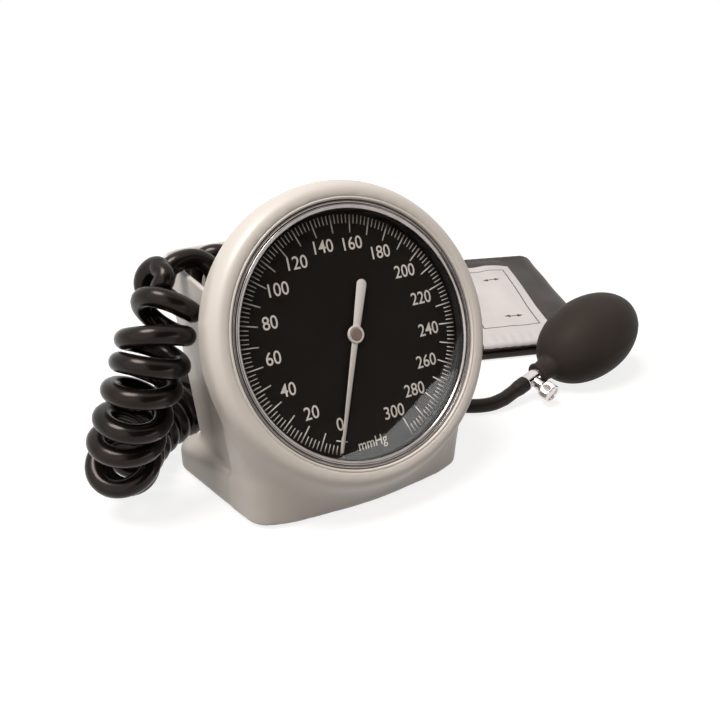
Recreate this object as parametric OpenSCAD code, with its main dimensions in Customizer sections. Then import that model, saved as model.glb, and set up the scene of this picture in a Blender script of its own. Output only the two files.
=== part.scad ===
/* [Housing] */
// Height of the dial's centre above the table
dial_height = 88; // [86:1:96]
// Lean of the dial back from upright, in degrees
dial_tilt = 23.5; // [20:0.5:26]
// Radius of the rim around the gauge
rim_radius = 76.5; // [75:0.5:80]
// How far the rim stands in front of the dial
rim_front = 8; // [7.6:0.2:10]
// Wall of the two shells
wall = 2.8; // [2.2:0.2:3.2]
// Half the width of the base at its front corners
base_front_half = 60.7; // [58:0.1:64]
// Half the width of the base at its rear corners
base_rear_half = 72; // [69:0.5:75]
// Where the front of the base stands, ahead of the dial's centre
base_front = 19; // [17:0.5:21]
// Where the rear of the base stands, behind the dial's centre
base_rear = 71; // [69:0.5:76]
// Where the front shell ends on its sides
shell_rear = 10.6; // [9:0.2:13]
// Height of the plinth's ledge beside the front shell
plinth_front_h = 23; // [20:0.5:26]
// Height of the plinth's ledge at the rear
plinth_rear_h = 16; // [14:0.5:19]
// Radius of the corners of the base
base_corner = 11; // [9:0.5:13]
// Rubber strip that stands below the base
foot_h = 1.2; // [0.8:0.1:2]

/* [Basket] */
// Half the outer width of the basket at its rim
basket_half_top = 66.5; // [64:0.5:68]
// Half the outer width of the basket at its floor
basket_half_low = 63; // [61:0.5:65]
// Height of the basket's rim
basket_rim = 116; // [110:1:122]
// Outer face of the back wall at the rim, behind the dial's centre
basket_back_top = 93; // [88:1:98]
// Outer face of the back wall at its foot
basket_back_low = 67; // [64:0.5:68]
// Radius of the basket's rear corners
basket_corner = 13; // [10:1:16]

/* [Gauge] */
// Radius of the bright ring
bezel_radius = 65; // [64.6:0.1:65.6]
// Radius of the dial
dial_radius = 62; // [61.5:0.1:62.2]
// Thickness of the dial
dial_thick = 0.8; // [0.5:0.1:1]
// Distance from the dial up to the lens
lens_seat = 3.8; // [3.6:0.1:4.2]
// Thickness of the lens
lens_thick = 1.6; // [1.2:0.1:2]
// Rise of the lens at its middle
lens_rise = 2; // [1.2:0.1:3]
// Depth of the gauge case behind the dial
case_depth = 29; // [28:0.5:31]
// Radius of the deep part of the gauge case
case_radius = 40; // [38:0.5:42]
// Wall of the gauge case
case_wall = 1.5; // [1.2:0.1:2]
// Length of the pointer from its axis to its tip
pointer_reach = 58; // [55:0.5:59]
// Length of the pointer's tail
pointer_tail = 27; // [22:0.5:30]
// Angle of the zero mark from straight down, towards the left
zero_angle = 20.6; // [18:0.2:24]

/* [Movement] */
// Module of the gear teeth
tooth_module = 0.25; // [0.24:0.005:0.26]
// Teeth on the pinion
pinion_teeth = 12; // [12:1:12]
// Teeth that a whole wheel of the sector's size would have
sector_wheel = 144; // [144:12:144]
// Teeth that the sector has
sector_teeth = 17; // [16:1:18]
// Turn of the sector over the whole scale, in degrees
sector_turn = 26.56; // [24:0.01:27]
// Distance from the sector's axis to its tail pin
tail_arm = 5; // [4.6:0.1:5.4]
// Share of the sector's turn that the rocker makes
rocker_share = 0.6; // [0.55:0.01:0.65]
// Distance from the rocker's shaft to the capsule's stud
push_arm = 4; // [3.6:0.1:4.4]
// Radius of the capsule
capsule_radius = 19; // [17:0.5:20]
// Running clearance of shafts in their holes, on the radius
run_gap = 0.05; // [0.03:0.01:0.08]

/* [Tubes] */
// Diameter of the curly tube
tube_d = 9.8; // [9.6:0.1:10]
// Diameter over the curls
curl_d = 36.8; // [36:0.1:38]
// Diameter of the hose to the bulb
hose_d = 9; // [8.4:0.1:9]

/* [Bulb and valve] */
// Largest diameter of the bulb
bulb_d = 54; // [50:1:55]
// Half the length of the bulb's egg
bulb_half_length = 40.5; // [38:0.5:43]
// Wall of the bulb
bulb_wall = 3; // [2.4:0.1:3.6]
// Lean of the bulb, its far end up, in degrees
bulb_tilt = 16; // [14:0.5:17]
// Turn of the bulb from the left-to-right line, in degrees
bulb_yaw = 6; // [4:0.5:8]
// Diameter of the valve's body
valve_d = 9.6; // [9.4:0.1:10.4]
// Diameter of the thumb screw
knob_d = 11.7; // [10.6:0.1:12.4]
// Length of the thumb screw's grip
knob_grip = 7.8; // [6.5:0.1:9]

/* [Cuff] */
// Width of the cuff
cuff_width = 142; // [136:1:146]
// Length of the cuff as it lies folded
cuff_length = 196; // [180:1:200]
// Thickness of one layer of the cuff
cuff_layer = 5.4; // [5:0.2:6]
// Height of the upper layer's middle at the near edge
cuff_near_h = 9.4; // [9:0.1:11]
// Height of the upper layer's middle at the far edge
cuff_far_h = 26; // [22:0.5:30]

/* [Hidden] */

// Roundness of the large circles
$fn = 96;
// Small gap between pieces that lie against each other
fit_gap = 0.3;

// Housing, worked out
shell_depth = 9.5;
rim_step = 0.2;
bow_r = 163;
corner_x = base_front_half - base_corner;
corner_y = bow_r - base_front - sqrt(pow(bow_r - base_corner, 2) - pow(corner_x, 2));
rear_x = base_rear_half - base_corner;
rear_y = base_rear - base_corner;
side_angle = atan2(rear_y - corner_y, rear_x - corner_x);
side_normal = side_angle - 90;
bow_end = atan2(corner_y + base_front - bow_r, corner_x);
ledge_slope = atan2(plinth_front_h - plinth_rear_h, base_rear - shell_rear);
plate_h = 3;
boss_r = 4;
screw_r = 1.45;
screw_head_r = 3;
screw_head_h = 1.6;
screw_places = [[-46, 5, 27], [46, 5, 27], [-56, 55, 17], [56, 55, 17]];
screw_top = foot_h + 11;
foot_front_half = 40;
foot_rear_half = 48;
foot_width = 8;
foot_rear_y = 56;
foot_recess = 0.8;

// Gauge, worked out
skirt = 1.3;
case_outer = bezel_radius - skirt - 0.1;
case_inner = dial_radius + 0.15;
lens_top = lens_seat + lens_thick;
bezel_inner = dial_radius - 0.8;
ledge_n = -4.4;
cup_floor = 2.4;
cup_r = case_radius + fit_gap + wall;
wide_depth = 6.5;
floor_n = -case_depth;
inside_n = floor_n + case_wall;
cup_n = floor_n - 0.1;
case_screw_ring = 30;
case_screw_r = 1.3;

// Movement, worked out
pitch_pinion = tooth_module * pinion_teeth / 2;
pitch_sector = tooth_module * sector_wheel / 2;
centre_gap = pitch_pinion + pitch_sector + 0.02;
leg_ring = centre_gap + tail_arm + 6.48;
tooth_step = 360 / sector_wheel;
tooth_shift = 0.3;
half_turn = sector_turn / 2;
staff_r = 0.6;
arbor_r = 0.8;
front_plate_n = -3.2;
plate_thick = 1;
back_plate_n = -10;
sector_n = -7;
sector_thick = 0.8;
pinion_low = -7.5;
pinion_thick = 2;
tail_pin_r = 0.4;
rocker_r = 0.75;
rocker_n = -16;
rocker_half = 0.4;
rocker_turn = rocker_share * sector_turn;
rocker_reach = tail_arm * sin(half_turn) / sin(rocker_turn / 2);
touch_gap = 0.12;
rocker_x = tail_arm * -sin(half_turn) - tail_pin_r - touch_gap - rocker_half
  + rocker_reach * sin(rocker_turn / 2);
tail_y = -centre_gap - tail_arm;
stud_x = rocker_x - push_arm * cos(rocker_turn / 2);
stud_top = rocker_n - push_arm * sin(rocker_turn / 2) - rocker_half - touch_gap;
pillar_x = 9;
pillar_top_y = 5;
pillar_low_y = -centre_gap - 8.5;
inlet_n = inside_n + 0.9;
stud_base_n = -20;

// Inlet and tube ends, worked out
barb_r = 3.1;
nozzle_tip = floor_n - 14;
sleeve_len = 10;
sleeve_bore = barb_r + run_gap;
tube_r = tube_d / 2;
curl_r = (curl_d - tube_d) / 2;
end_gap = 0.1;
tube_start_n = nozzle_tip - 2 - end_gap;
joint_y = 97;
joint_z = 6;
joint_x = -8;
joint_len = 26;
air_bore = 1.2;

// Middle of the curly tube's curls, one point a turn between its straight ends
curl_route = [
  [-10.60, 54.49, 72.35, 1.029], [-18.73, 58.52, 81.48, 2.138], [-26.64, 61.82, 90.02, 3.253],
  [-34.65, 64.63, 98.53, 4.313], [-41.90, 66.27, 104.67, 5.032], [-47.57, 61.53, 106.91, 5.399],
  [-59.46, 54.93, 112.89, 6.061], [-71.00, 45.37, 114.57, 6.357], [-81.07, 45.42, 113.21, 6.550],
  [-76.69, 45.09, 117.23, 6.764], [-75.03, 35.51, 113.90, 7.006], [-87.80, 28.68, 101.51, 8.386],
  [-93.20, 25.49, 88.44, 9.338], [-99.70, 23.69, 75.33, 10.582], [-105.18, 26.09, 59.97, 11.567],
  [-109.53, 29.91, 45.49, 12.816], [-110.63, 38.21, 28.72, 13.728], [-106.93, 52.23, 20.27, 14.584],
  [-98.56, 67.25, 18.67, 15.674], [-89.68, 77.92, 18.81, 16.824], [-80.25, 86.34, 19.17, 17.820],
  [-68.48, 93.54, 19.43, 18.875], [-55.79, 98.74, 19.37, 20.014], [-42.05, 101.33, 16.99, 20.978]];
curl_steps = 8;
curl_count = 22;
curl_sides = 6;
curl_phase = 223.98;
lead_in = 1.3;
// Over the basket's edge the tube is pulled out, which draws its curls in
stretch_at = 6.7;
stretch_share = 0.42;

// Middle of the hose to the bulb, between its straight ends
hose_route = [[116, 27.5, 4.7], [106, 30.5, 4.6], [97, 37, 4.6], [90, 48, 4.6],
  [86.5, 62, 4.6], [86.5, 78, 4.6], [89, 90, 4.6]];
// Middle of the cuff's other tube, between its straight ends
cuff_tube_route = [[48, 97, 5.6], [58, 97.5, 5.2], [66, 100, 5]];
hose_port = 47;
tube_port = 26;

// Cuff, worked out
cuff_turn = -17.6;
cuff_corner = [50.5, 121];
cuff_half = cuff_layer / 2;
cuff_low = cuff_half;
edge_stations = [0, 0.02, 0.06, 0.2, 0.35, 0.5, 0.65, 0.8, 0.94, 0.98, 1];
bladder_half = 0.9;
bladder_gap = 0.3;
label_thick = 0.5;
label_left = 70;
label_length = 96;
label_near = 4;
label_width = 96;
cuff_slope = atan2(cuff_far_h - cuff_near_h, cuff_width);

// Bulb and valve, worked out
bulb_r = bulb_d / 2;
bulb_x = 201.9;
bulb_y = 34.8;
bulb_z = sqrt(pow(bulb_half_length * sin(bulb_tilt), 2) + pow(bulb_r * cos(bulb_tilt), 2));
neck_r = 6.6;
neck_bore = 4.6;
neck_end = -bulb_half_length - 9.5;
valve_r = valve_d / 2;
valve_end = neck_end - 11;
screw_at = neck_end - 5;
screw_roll = 15;
seat_at = 1.9;
seal_thick = 1.1;
spindle_r = 2;
boss_top = 9;
knob_low = 10.4;
hose_end_at = valve_end - sleeve_len - end_gap;
inlet_ball_r = 1.6;

function arc(cx, cy, r, a0, a1, n) =
  [for (i = [0 : n]) let (a = a0 + (a1 - a0) * i / n) [cx + r * cos(a), cy + r * sin(a)]];
function mirrored(p) = [for (i = [len(p) - 1 : -1 : 0]) [-p[i][0], p[i][1]]];
function both(p) = concat(p, mirrored(p));
function unit(v) = v / norm(v);

// Right half of the base's outline up to its side, drawn in by g
function front_half(g) = concat(
  arc(0, bow_r - base_front, bow_r - g, -90, bow_end, 6),
  arc(corner_x, corner_y, base_corner - g, bow_end, side_normal, 8));
// Where the side of the base is at y, drawn in by g
function side_x(y, g) = corner_x + (base_corner - g) / cos(side_normal)
  + (y - corner_y) * tan(side_normal) * -1;
function front_plan(g) = both(concat(front_half(g),
  [[side_x(shell_rear - g, g), shell_rear - g]]));
function base_plan(g) = both(concat(front_half(g),
  arc(rear_x, rear_y, base_corner - g, side_normal, 90, 8)));
function basket_plan(half, back, g) = both(concat([[half - g, 0]],
  arc(half - basket_corner, back - basket_corner, basket_corner - g, 0, 90, 10)));

// A route smoothed through its points
function spline(p, t) =
  let (i = min(floor(t), len(p) - 2), u = t - i,
    a = p[max(i - 1, 0)], b = p[i], c = p[i + 1], d = p[min(i + 2, len(p) - 1)])
  b + u * ((c - a) / 2 + u * (a - 2.5 * b + 2 * c - d / 2 + u * (1.5 * b - 1.5 * c + d / 2 - a / 2)));
// A side direction carried along a line of points without twisting
function carried(line) =
  let (n = len(line))
  [for (i = 0, t = unit(line[1] - line[0]), s = unit(cross(t, [0.3, 0.1, 1])); i < n;
    i = i + 1,
    t = i < n - 1 ? unit(line[min(i + 1, n - 1)] - line[max(i - 1, 0)]) : unit(line[n - 1] - line[n - 2]),
    s = unit(s - (s * t) * t)) [t, s]];
function ring(c, t, s, r, sides) =
  let (b = cross(t, s)) [for (k = [0 : sides - 1]) c + r * (cos(360 * k / sides) * s
    + sin(360 * k / sides) * b)];

// The two triangles between one ring of points, starting at base, and the next
function strip_pair(base, k, sides) = let (next = (k + 1) % sides)
  [[base + k, base + next, base + sides + next], [base + k, base + sides + next, base + sides + k]];

module on_dial(n = 0) {
  translate([0, 0, dial_height]) rotate([90 - dial_tilt, 0, 0]) translate([0, 0, n]) children();
}
module at_bulb() {
  translate([bulb_x, bulb_y, bulb_z]) rotate([0, 0, bulb_yaw]) rotate([0, -bulb_tilt, 0]) children();
}
module at_screw() {
  at_bulb() translate([screw_at, 0, 0]) rotate([90 + screw_roll, 0, 0]) children();
}
module along_x(x) {
  translate([x, 0, 0]) rotate([0, 90, 0]) children();
}
module at_cuff() {
  translate([cuff_corner[0], cuff_corner[1], 0]) rotate([0, 0, cuff_turn]) children();
}
module tube_between(r_out, r_in, h) {
  difference() {
    cylinder(r = r_out, h = h);
    translate([0, 0, -1]) cylinder(r = r_in, h = h + 2);
  }
}
// A tube along a line of points, closed at both ends
module swept(line, r, sides) {
  frames = carried(line);
  n = len(line);
  points = [for (i = [0 : n - 1]) each ring(line[i], frames[i][0], frames[i][1], r, sides)];
  walls = [for (i = [0 : n - 2], k = [0 : sides - 1]) each strip_pair(i * sides, k, sides)];
  first = [for (k = [sides - 1 : -1 : 0]) k];
  last = [for (k = [0 : sides - 1]) (n - 1) * sides + k];
  polyhedron(points, concat([first], walls, [last]), 4);
}
// Everything above the plinth's sloping ledge, raised by h
module above_ledge(h) {
  translate([0, base_rear, plinth_rear_h + h]) rotate([-ledge_slope, 0, 0])
    translate([-150, -200, 0]) cube([300, 300, 300]);
}
// The front shell's outer form drawn in by g, its flat back from the table up and then behind the rim
module shell_form(g, front_n) {
  low = foot_h - (abs(g) > 0 ? 2 : 0);
  difference() {
    hull() {
      on_dial(g - shell_depth) cylinder(r = rim_radius - g, h = shell_depth + front_n - g);
      translate([0, 0, low]) linear_extrude(1) polygon(front_plan(g + rim_step / 2));
    }
    intersection() {
      translate([-100, shell_rear - g, 0]) cube([200, 200, 200]);
      on_dial(g - shell_depth - 200) translate([-100, -100, 0]) cube([200, 250, 200]);
    }
  }
}
module rim_profile() {
  corner = 6;
  inner = bezel_radius + fit_gap;
  lip = 1.4;
  polygon(concat(
    [[inner, ledge_n], [inner - lip, ledge_n], [inner - lip, 1 - shell_depth],
     [bezel_radius + 3, 1 - shell_depth], [bezel_radius + 3, -1], [rim_radius - rim_step, -1]],
    arc(rim_radius - rim_step - corner, rim_front - corner, corner, 0, 90, 8),
    arc(inner + 1.2, rim_front - 1.2, 1.2, 90, 180, 4)));
}
// The plinth, closed by its sloping ledge
module plinth_form(g) {
  difference() {
    translate([0, 0, foot_h - (g > 0 ? 2 : 0)]) linear_extrude(40) polygon(base_plan(g));
    above_ledge(-g);
  }
}
module front_housing() {
  color("gainsboro") difference() {
    union() {
      difference() {
        union() {
          shell_form(0, 0);
          plinth_form(0);
        }
        shell_form(wall, 0);
        plinth_form(wall);
        on_dial(-wide_depth - 0.1) cylinder(r = bezel_radius + 1.5, h = 40);
      }
      on_dial() rotate_extrude() rim_profile();
      on_dial(cup_n - cup_floor) cylinder(r = cup_r, h = case_depth + cup_floor - wide_depth - 1);
      for (p = screw_places) {
        translate([p[0], p[1], foot_h + plate_h]) cylinder(r = boss_r, h = p[2] - foot_h - plate_h, $fn = 32);
      }
    }
    on_dial(cup_n) cylinder(r = case_radius + fit_gap, h = 40);
    on_dial(cup_n - cup_floor - 1) translate([stud_x, 0, 0]) cylinder(r = 4.4, h = 6, $fn = 48);
    case_screw_holes(case_screw_r + 0.15);
    for (p = screw_places) {
      translate([p[0], p[1], 0]) cylinder(r = screw_r + 0.05, h = screw_top + 0.3, $fn = 24);
    }
  }
}
module case_screw_holes(r) {
  for (a = [90, 210, 330]) {
    on_dial(cup_n - cup_floor - 1) rotate([0, 0, a]) translate([case_screw_ring, 0, 0])
      cylinder(r = r, h = 8, $fn = 24);
  }
}
module rear_basket() {
  color("gainsboro") difference() {
    intersection() {
      basket_form(0);
      above_ledge(0);
    }
    intersection() {
      basket_form(wall);
      above_ledge(wall);
    }
    shell_form(-fit_gap, 0);
    on_dial(-shell_depth - fit_gap) cylinder(r = rim_radius + 2, h = 60);
    on_dial(cup_n - cup_floor - fit_gap) cylinder(r = cup_r + fit_gap, h = 60);
  }
}
module basket_form(g) {
  hull() {
    translate([0, 0, plinth_rear_h - 4]) linear_extrude(0.1)
      polygon(basket_plan(basket_half_low, basket_back_low, g));
    translate([0, 0, basket_rim - (g > 0 ? -1 : 0.1)]) linear_extrude(0.1)
      polygon(basket_plan(basket_half_top, basket_back_top, g));
  }
}
module stadium(half, width, h) {
  translate([-half + width / 2, -width / 2, 0]) cube([2 * half - width, width, h]);
  for (s = [-1, 1]) {
    translate([s * (half - width / 2), 0, 0]) cylinder(d = width, h = h, $fn = 32);
  }
}
module base_plate() {
  color("gainsboro") difference() {
    translate([0, 0, foot_h]) linear_extrude(plate_h) polygon(base_plan(wall + fit_gap));
    foot_strips(foot_recess + foot_h, 0.1);
    for (p = screw_places) {
      translate([p[0], p[1], 0]) cylinder(r = screw_r + 0.15, h = 20, $fn = 24);
      translate([p[0], p[1], 0]) cylinder(r = screw_head_r + 0.2, h = foot_h + screw_head_h, $fn = 32);
    }
  }
}
module foot_strips(h, g) {
  stadium(foot_front_half + g, foot_width + 2 * g, h);
  translate([0, foot_rear_y, 0]) stadium(foot_rear_half + g, foot_width + 2 * g, h);
}
module rubber_feet() {
  color("dimgray") foot_strips(foot_recess + foot_h, 0);
}
module housing_screws() {
  color("silver") for (p = screw_places) {
    translate([p[0], p[1], foot_h]) difference() {
      union() {
        cylinder(r = screw_head_r, h = screw_head_h, $fn = 32);
        cylinder(r = screw_r, h = screw_top - foot_h, $fn = 24);
      }
      for (a = [0, 90]) {
        rotate([0, 0, a]) translate([-1.6, -0.35, -0.1]) cube([3.2, 0.7, 1]);
      }
    }
  }
}
module gauge_case() {
  color("darkslategray") difference() {
    on_dial() rotate_extrude() polygon([
      [0, floor_n], [case_radius, floor_n], [case_radius, -wide_depth],
      [case_outer - 1, -wide_depth], [case_outer - 1, ledge_n - 2.3], [case_outer - 1, ledge_n],
      [case_outer, ledge_n], [case_outer, lens_top - 0.1],
      [case_inner, lens_top - 0.1], [case_inner, -dial_thick], [case_inner - 2.6, -dial_thick],
      [case_inner - 2.6, -wide_depth + 1.5], [case_radius - case_wall, -wide_depth + 1.5],
      [case_radius - case_wall, inside_n], [0, inside_n]]);
    on_dial() translate([stud_x, 0, floor_n - 1]) cylinder(r = 4.1, h = 4, $fn = 48);
    case_screw_holes(case_screw_r + 0.05);
    for (a = [30, 150, 270]) {
      on_dial(floor_n) rotate([0, 0, a]) translate([leg_ring, 0, 0]) {
        translate([0, 0, -0.01]) cylinder(r1 = 2.5, r2 = 1.3, h = 1.21, $fn = 32);
        cylinder(r = 1.3, h = 4, $fn = 24);
      }
    }
  }
}
module case_screws() {
  color("silver") for (a = [90, 210, 330]) {
    on_dial(cup_n - cup_floor) rotate([0, 0, a]) translate([case_screw_ring, 0, 0]) {
      translate([0, 0, -1.4]) cylinder(r = 2.5, h = 1.4, $fn = 32);
      cylinder(r = case_screw_r, h = 6, $fn = 24);
    }
  }
}
module bezel_ring() {
  color("silver") on_dial() rotate_extrude() polygon(concat(
    [[bezel_radius - skirt, ledge_n], [bezel_radius, ledge_n]],
    arc(bezel_radius - 1.2, lens_top + 0.7, 1.2, 0, 90, 5),
    [[bezel_inner + 1.2, lens_top + 1.7], [bezel_inner, lens_top + 0.8],
     [bezel_inner, lens_top + 0.1], [bezel_radius - skirt, lens_top + 0.1]]));
}
module lens() {
  steps = 8;
  color("white", 0.3) on_dial() rotate_extrude() polygon(concat(
    [for (i = [0 : steps]) [dial_radius * i / steps, lens_seat + lens_rise * (1 - pow(i / steps, 2))]],
    [for (i = [steps : -1 : 0]) [dial_radius * i / steps, lens_top + lens_rise * (1 - pow(i / steps, 2))]]));
}
module spacer_ring() {
  color("black") on_dial() tube_between(dial_radius, dial_radius - 1.1, lens_seat);
}
module dial_plate() {
  color("black") on_dial(-dial_thick) tube_between(dial_radius, 1.6, dial_thick);
}
module pointer() {
  low = 1.6;
  thick = 0.6;
  color("gainsboro") on_dial() rotate([0, 0, 180 - zero_angle]) difference() {
    union() {
      translate([0, 0, low]) linear_extrude(thick) polygon([
        [-0.5, pointer_reach], [-1.35, 2], [-1.5, -2], [-2.1, 2 - pointer_tail],
        [2.1, 2 - pointer_tail], [1.5, -2], [1.35, 2], [0.5, pointer_reach]]);
      translate([0, 2.1 - pointer_tail, low]) cylinder(r = 2.1, h = thick, $fn = 32);
      translate([0, 0, low - 0.6]) cylinder(r = 2.2, h = thick + 1, $fn = 32);
    }
    cylinder(r = staff_r, h = 10, $fn = 24);
  }
}
module pointer_cap() {
  color("tan") on_dial(2.6) {
    cylinder(r = 2.7, h = 0.6, $fn = 48);
    translate([0, 0, 0.6]) cylinder(r1 = 2.7, r2 = 2.1, h = 0.4, $fn = 48);
  }
}

// Half the angle of a tooth at radius r, where shift moves the tooth out by a share of the module
function rolled(a) = tan(a) * 180 / PI - a;
function tooth_half(teeth, pitch, shift, r) =
  (90 + 2 * shift * tan(20) * 180 / PI) / teeth - 0.012 / pitch * 180 / PI + rolled(20)
  - rolled(acos(min(1, pitch * cos(20) / r)));
function tooth(teeth, pitch, shift, a) =
  let (m = tooth_module, low = pitch - m * (1.25 - shift), high = pitch + m * (1 + shift) - 0.02,
    radii = [low, pitch * 0.985, pitch, (pitch + high) / 2, high])
  concat(
    [for (i = [0 : 4]) let (h = a - tooth_half(teeth, pitch, shift, radii[i]))
      radii[i] * [cos(h), sin(h)]],
    [for (i = [4 : -1 : 0]) let (h = a + tooth_half(teeth, pitch, shift, radii[i]))
      radii[i] * [cos(h), sin(h)]]);

module pinion_staff() {
  color("gold") on_dial() {
    translate([0, 0, back_plate_n + 0.1]) cylinder(r = staff_r, h = 2.6 - back_plate_n - 0.1, $fn = 24);
    translate([0, 0, pinion_low]) linear_extrude(pinion_thick) polygon([for (k = [0 : pinion_teeth - 1])
      each tooth(pinion_teeth, pitch_pinion, tooth_shift, 270 + 360 * k / pinion_teeth)]);
    translate([0, 0, front_plate_n - 1.5]) cylinder(r = 1.2, h = 1.1, $fn = 24);
  }
}
module sector_gear() {
  hub = 2.6;
  band = 2.4;
  root = pitch_sector - tooth_module * (1.25 + tooth_shift);
  first = 90 - tooth_step * (sector_teeth - 3.5);
  last = 90 + tooth_step * 2.5;
  body = 90 - half_turn;
  color("goldenrod") on_dial() translate([0, -centre_gap, 0]) {
    translate([0, 0, sector_n]) linear_extrude(sector_thick) difference() {
      union() {
        polygon(concat(
          [for (k = [0 : sector_teeth - 1])
            each tooth(sector_wheel, pitch_sector, -tooth_shift, first + tooth_step * k)],
          arc(0, 0, root - band, last + 1.5, first - 1.5, 16)));
        circle(r = hub);
        for (a = [first + 6, last - 6]) {
          rotate(a) translate([0, -0.7]) square([root - band / 2, 1.4]);
        }
        rotate(body + 180) translate([0, -0.9]) square([tail_arm, 1.8]);
        rotate(body + 180) translate([tail_arm, 0]) circle(r = 0.9, $fn = 24);
      }
      circle(r = arbor_r, $fn = 24);
    }
    rotate([0, 0, body + 180]) translate([tail_arm, 0, sector_n - 1.7])
      cylinder(r = tail_pin_r, h = 1.7, $fn = 24);
  }
}
module sector_arbor() {
  color("silver") on_dial() translate([0, -centre_gap, 0]) {
    translate([0, 0, back_plate_n + 0.1]) cylinder(r = arbor_r, h = 7.7, $fn = 24);
    translate([0, 0, sector_n + sector_thick]) cylinder(r = 1.6, h = 0.8, $fn = 24);
  }
}
// Shaft that the capsule's stud turns, which pushes the sector's tail
module rocker() {
  tilt = rocker_turn / 2;
  color("silver") on_dial() translate([rocker_x, 0, rocker_n]) {
    translate([0, 5, 0]) rotate([90, 0, 0]) cylinder(r = rocker_r, h = 5 - tail_y + 3.4, $fn = 24);
    rotate([0, -tilt, 0]) translate([-rocker_half, tail_y - 0.6, 0])
      cube([2 * rocker_half, 1.2, rocker_reach + 0.45]);
    rotate([0, -tilt, 0]) translate([-push_arm - 0.7, -1, -rocker_half])
      cube([push_arm + 0.7, 2, 2 * rocker_half]);
  }
}
module hairspring() {
  turns = 4;
  steps = 20;
  inner = 1.3;
  outer = 6;
  strip = 0.16;
  count = turns * steps;
  line = [for (i = [0 : count]) let (r = inner + (outer - inner) * i / count, a = 360 * i / steps)
    [r * cos(a), r * sin(a)]];
  color("lightsteelblue") on_dial() {
    translate([0, 0, front_plate_n - 1.3]) linear_extrude(0.6) polygon(concat(line,
      [for (i = [count : -1 : 0]) line[i] * (norm(line[i]) + strip) / norm(line[i])]));
    translate([outer + strip / 2, 0, front_plate_n - 1.4]) cylinder(r = 0.4, h = 1.4, $fn = 16);
  }
}
module movement_outline() {
  low = pillar_low_y - 3;
  translate([-pillar_x - 3, low]) square([2 * pillar_x + 6, pillar_top_y + 3 - low]);
}
module front_plate() {
  color("gold") on_dial(front_plate_n) linear_extrude(plate_thick) difference() {
    movement_outline();
    circle(r = staff_r + run_gap, $fn = 24);
    translate([0, -centre_gap]) circle(r = arbor_r + run_gap, $fn = 24);
    plate_holes() circle(r = 1.05, $fn = 24);
  }
}
module plate_holes() {
  for (x = [-pillar_x, pillar_x], y = [pillar_top_y, pillar_low_y]) {
    translate([x, y]) children();
  }
}
module back_plate() {
  lug = 1.4;
  color("gold") on_dial() {
    translate([0, 0, back_plate_n]) linear_extrude(plate_thick) difference() {
      union() {
        movement_outline();
        for (a = [30, 150, 270]) {
          rotate(a) translate([0, -4]) square([leg_ring, 8]);
          rotate(a) translate([leg_ring, 0]) circle(r = 4, $fn = 32);
        }
      }
      circle(r = staff_r + run_gap, $fn = 24);
      translate([0, -centre_gap]) circle(r = arbor_r + run_gap, $fn = 24);
      translate([-5, tail_y - 1]) square([7, 2]);
      plate_holes() circle(r = 1.05, $fn = 24);
      for (a = [30, 150, 270]) {
        rotate(a) translate([leg_ring, 0]) circle(r = 1.3, $fn = 24);
      }
    }
    for (y = [3, tail_y - 2.5]) {
      translate([rocker_x, y, 0]) difference() {
        translate([-2, -lug / 2, rocker_n - 1.6]) cube([4, lug, back_plate_n - rocker_n + 1.6]);
        translate([0, lug, rocker_n]) rotate([90, 0, 0])
          cylinder(r = rocker_r + run_gap, h = 2 * lug, $fn = 24);
      }
    }
  }
}
module plate_pillars() {
  color("gold") on_dial() plate_holes() {
    translate([0, 0, back_plate_n + plate_thick])
      cylinder(r = 1.8, h = front_plate_n - back_plate_n - plate_thick, $fn = 32);
    translate([0, 0, back_plate_n - 0.6])
      cylinder(r = 1, h = front_plate_n - back_plate_n + plate_thick + 1, $fn = 24);
  }
}
module movement_legs() {
  color("silver") for (a = [30, 150, 270]) {
    on_dial(inside_n) rotate([0, 0, a]) translate([leg_ring, 0, 0])
      tube_between(2.6, 1.3, back_plate_n - inside_n);
  }
}
module movement_screws() {
  color("silver") for (a = [30, 150, 270]) {
    on_dial() rotate([0, 0, a]) translate([leg_ring, 0, 0]) {
      translate([0, 0, floor_n]) cylinder(r1 = 2.4, r2 = 1.2, h = 1.2, $fn = 32);
      translate([0, 0, floor_n]) cylinder(r = 1.2, h = back_plate_n + plate_thick - floor_n, $fn = 24);
      translate([0, 0, back_plate_n + plate_thick]) cylinder(r = 2.4, h = 1.2, $fn = 6);
    }
  }
}
// Two corrugated discs joined at their edge
module capsule() {
  low = inlet_n + 1;
  high = stud_base_n - 0.1;
  middle = (low + high) / 2;
  steps = 16;
  half = (high - low) / 2;
  color("peru") on_dial() translate([stud_x, 0, 0]) {
    rotate_extrude() polygon(concat([[0, low]],
      [for (i = [4 : steps]) let (s = i / steps)
        [capsule_radius * s, middle - half * (1 - 0.75 * s) - 0.35 * sin(360 * 4 * s)]],
      [[capsule_radius + 0.8, middle - 0.3], [capsule_radius + 0.8, middle + 0.3]],
      [for (i = [steps : -1 : 4]) let (s = i / steps)
        [capsule_radius * s, middle + half * (1 - 0.75 * s) + 0.35 * sin(360 * 4 * s)]],
      [[0, high]]));
    translate([0, 0, inlet_n]) cylinder(r = 3, h = 1.2, $fn = 32);
  }
}
module capsule_stud() {
  color("gold") on_dial() translate([stud_x, 0, stud_base_n]) {
    cylinder(r = 3, h = 0.7, $fn = 32);
    cylinder(r = 1.1, h = stud_top - stud_base_n, $fn = 24);
  }
}
module barbs(length, r, bore) {
  count = 3;
  pitch = length / count;
  rotate_extrude($fn = 48) polygon(concat([[bore, 0]],
    [for (i = [0 : count - 1]) each [[r, pitch * i], [r - 0.4, pitch * (i + 1) - 0.01]]],
    [[bore, length - 0.01]]));
}
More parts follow.
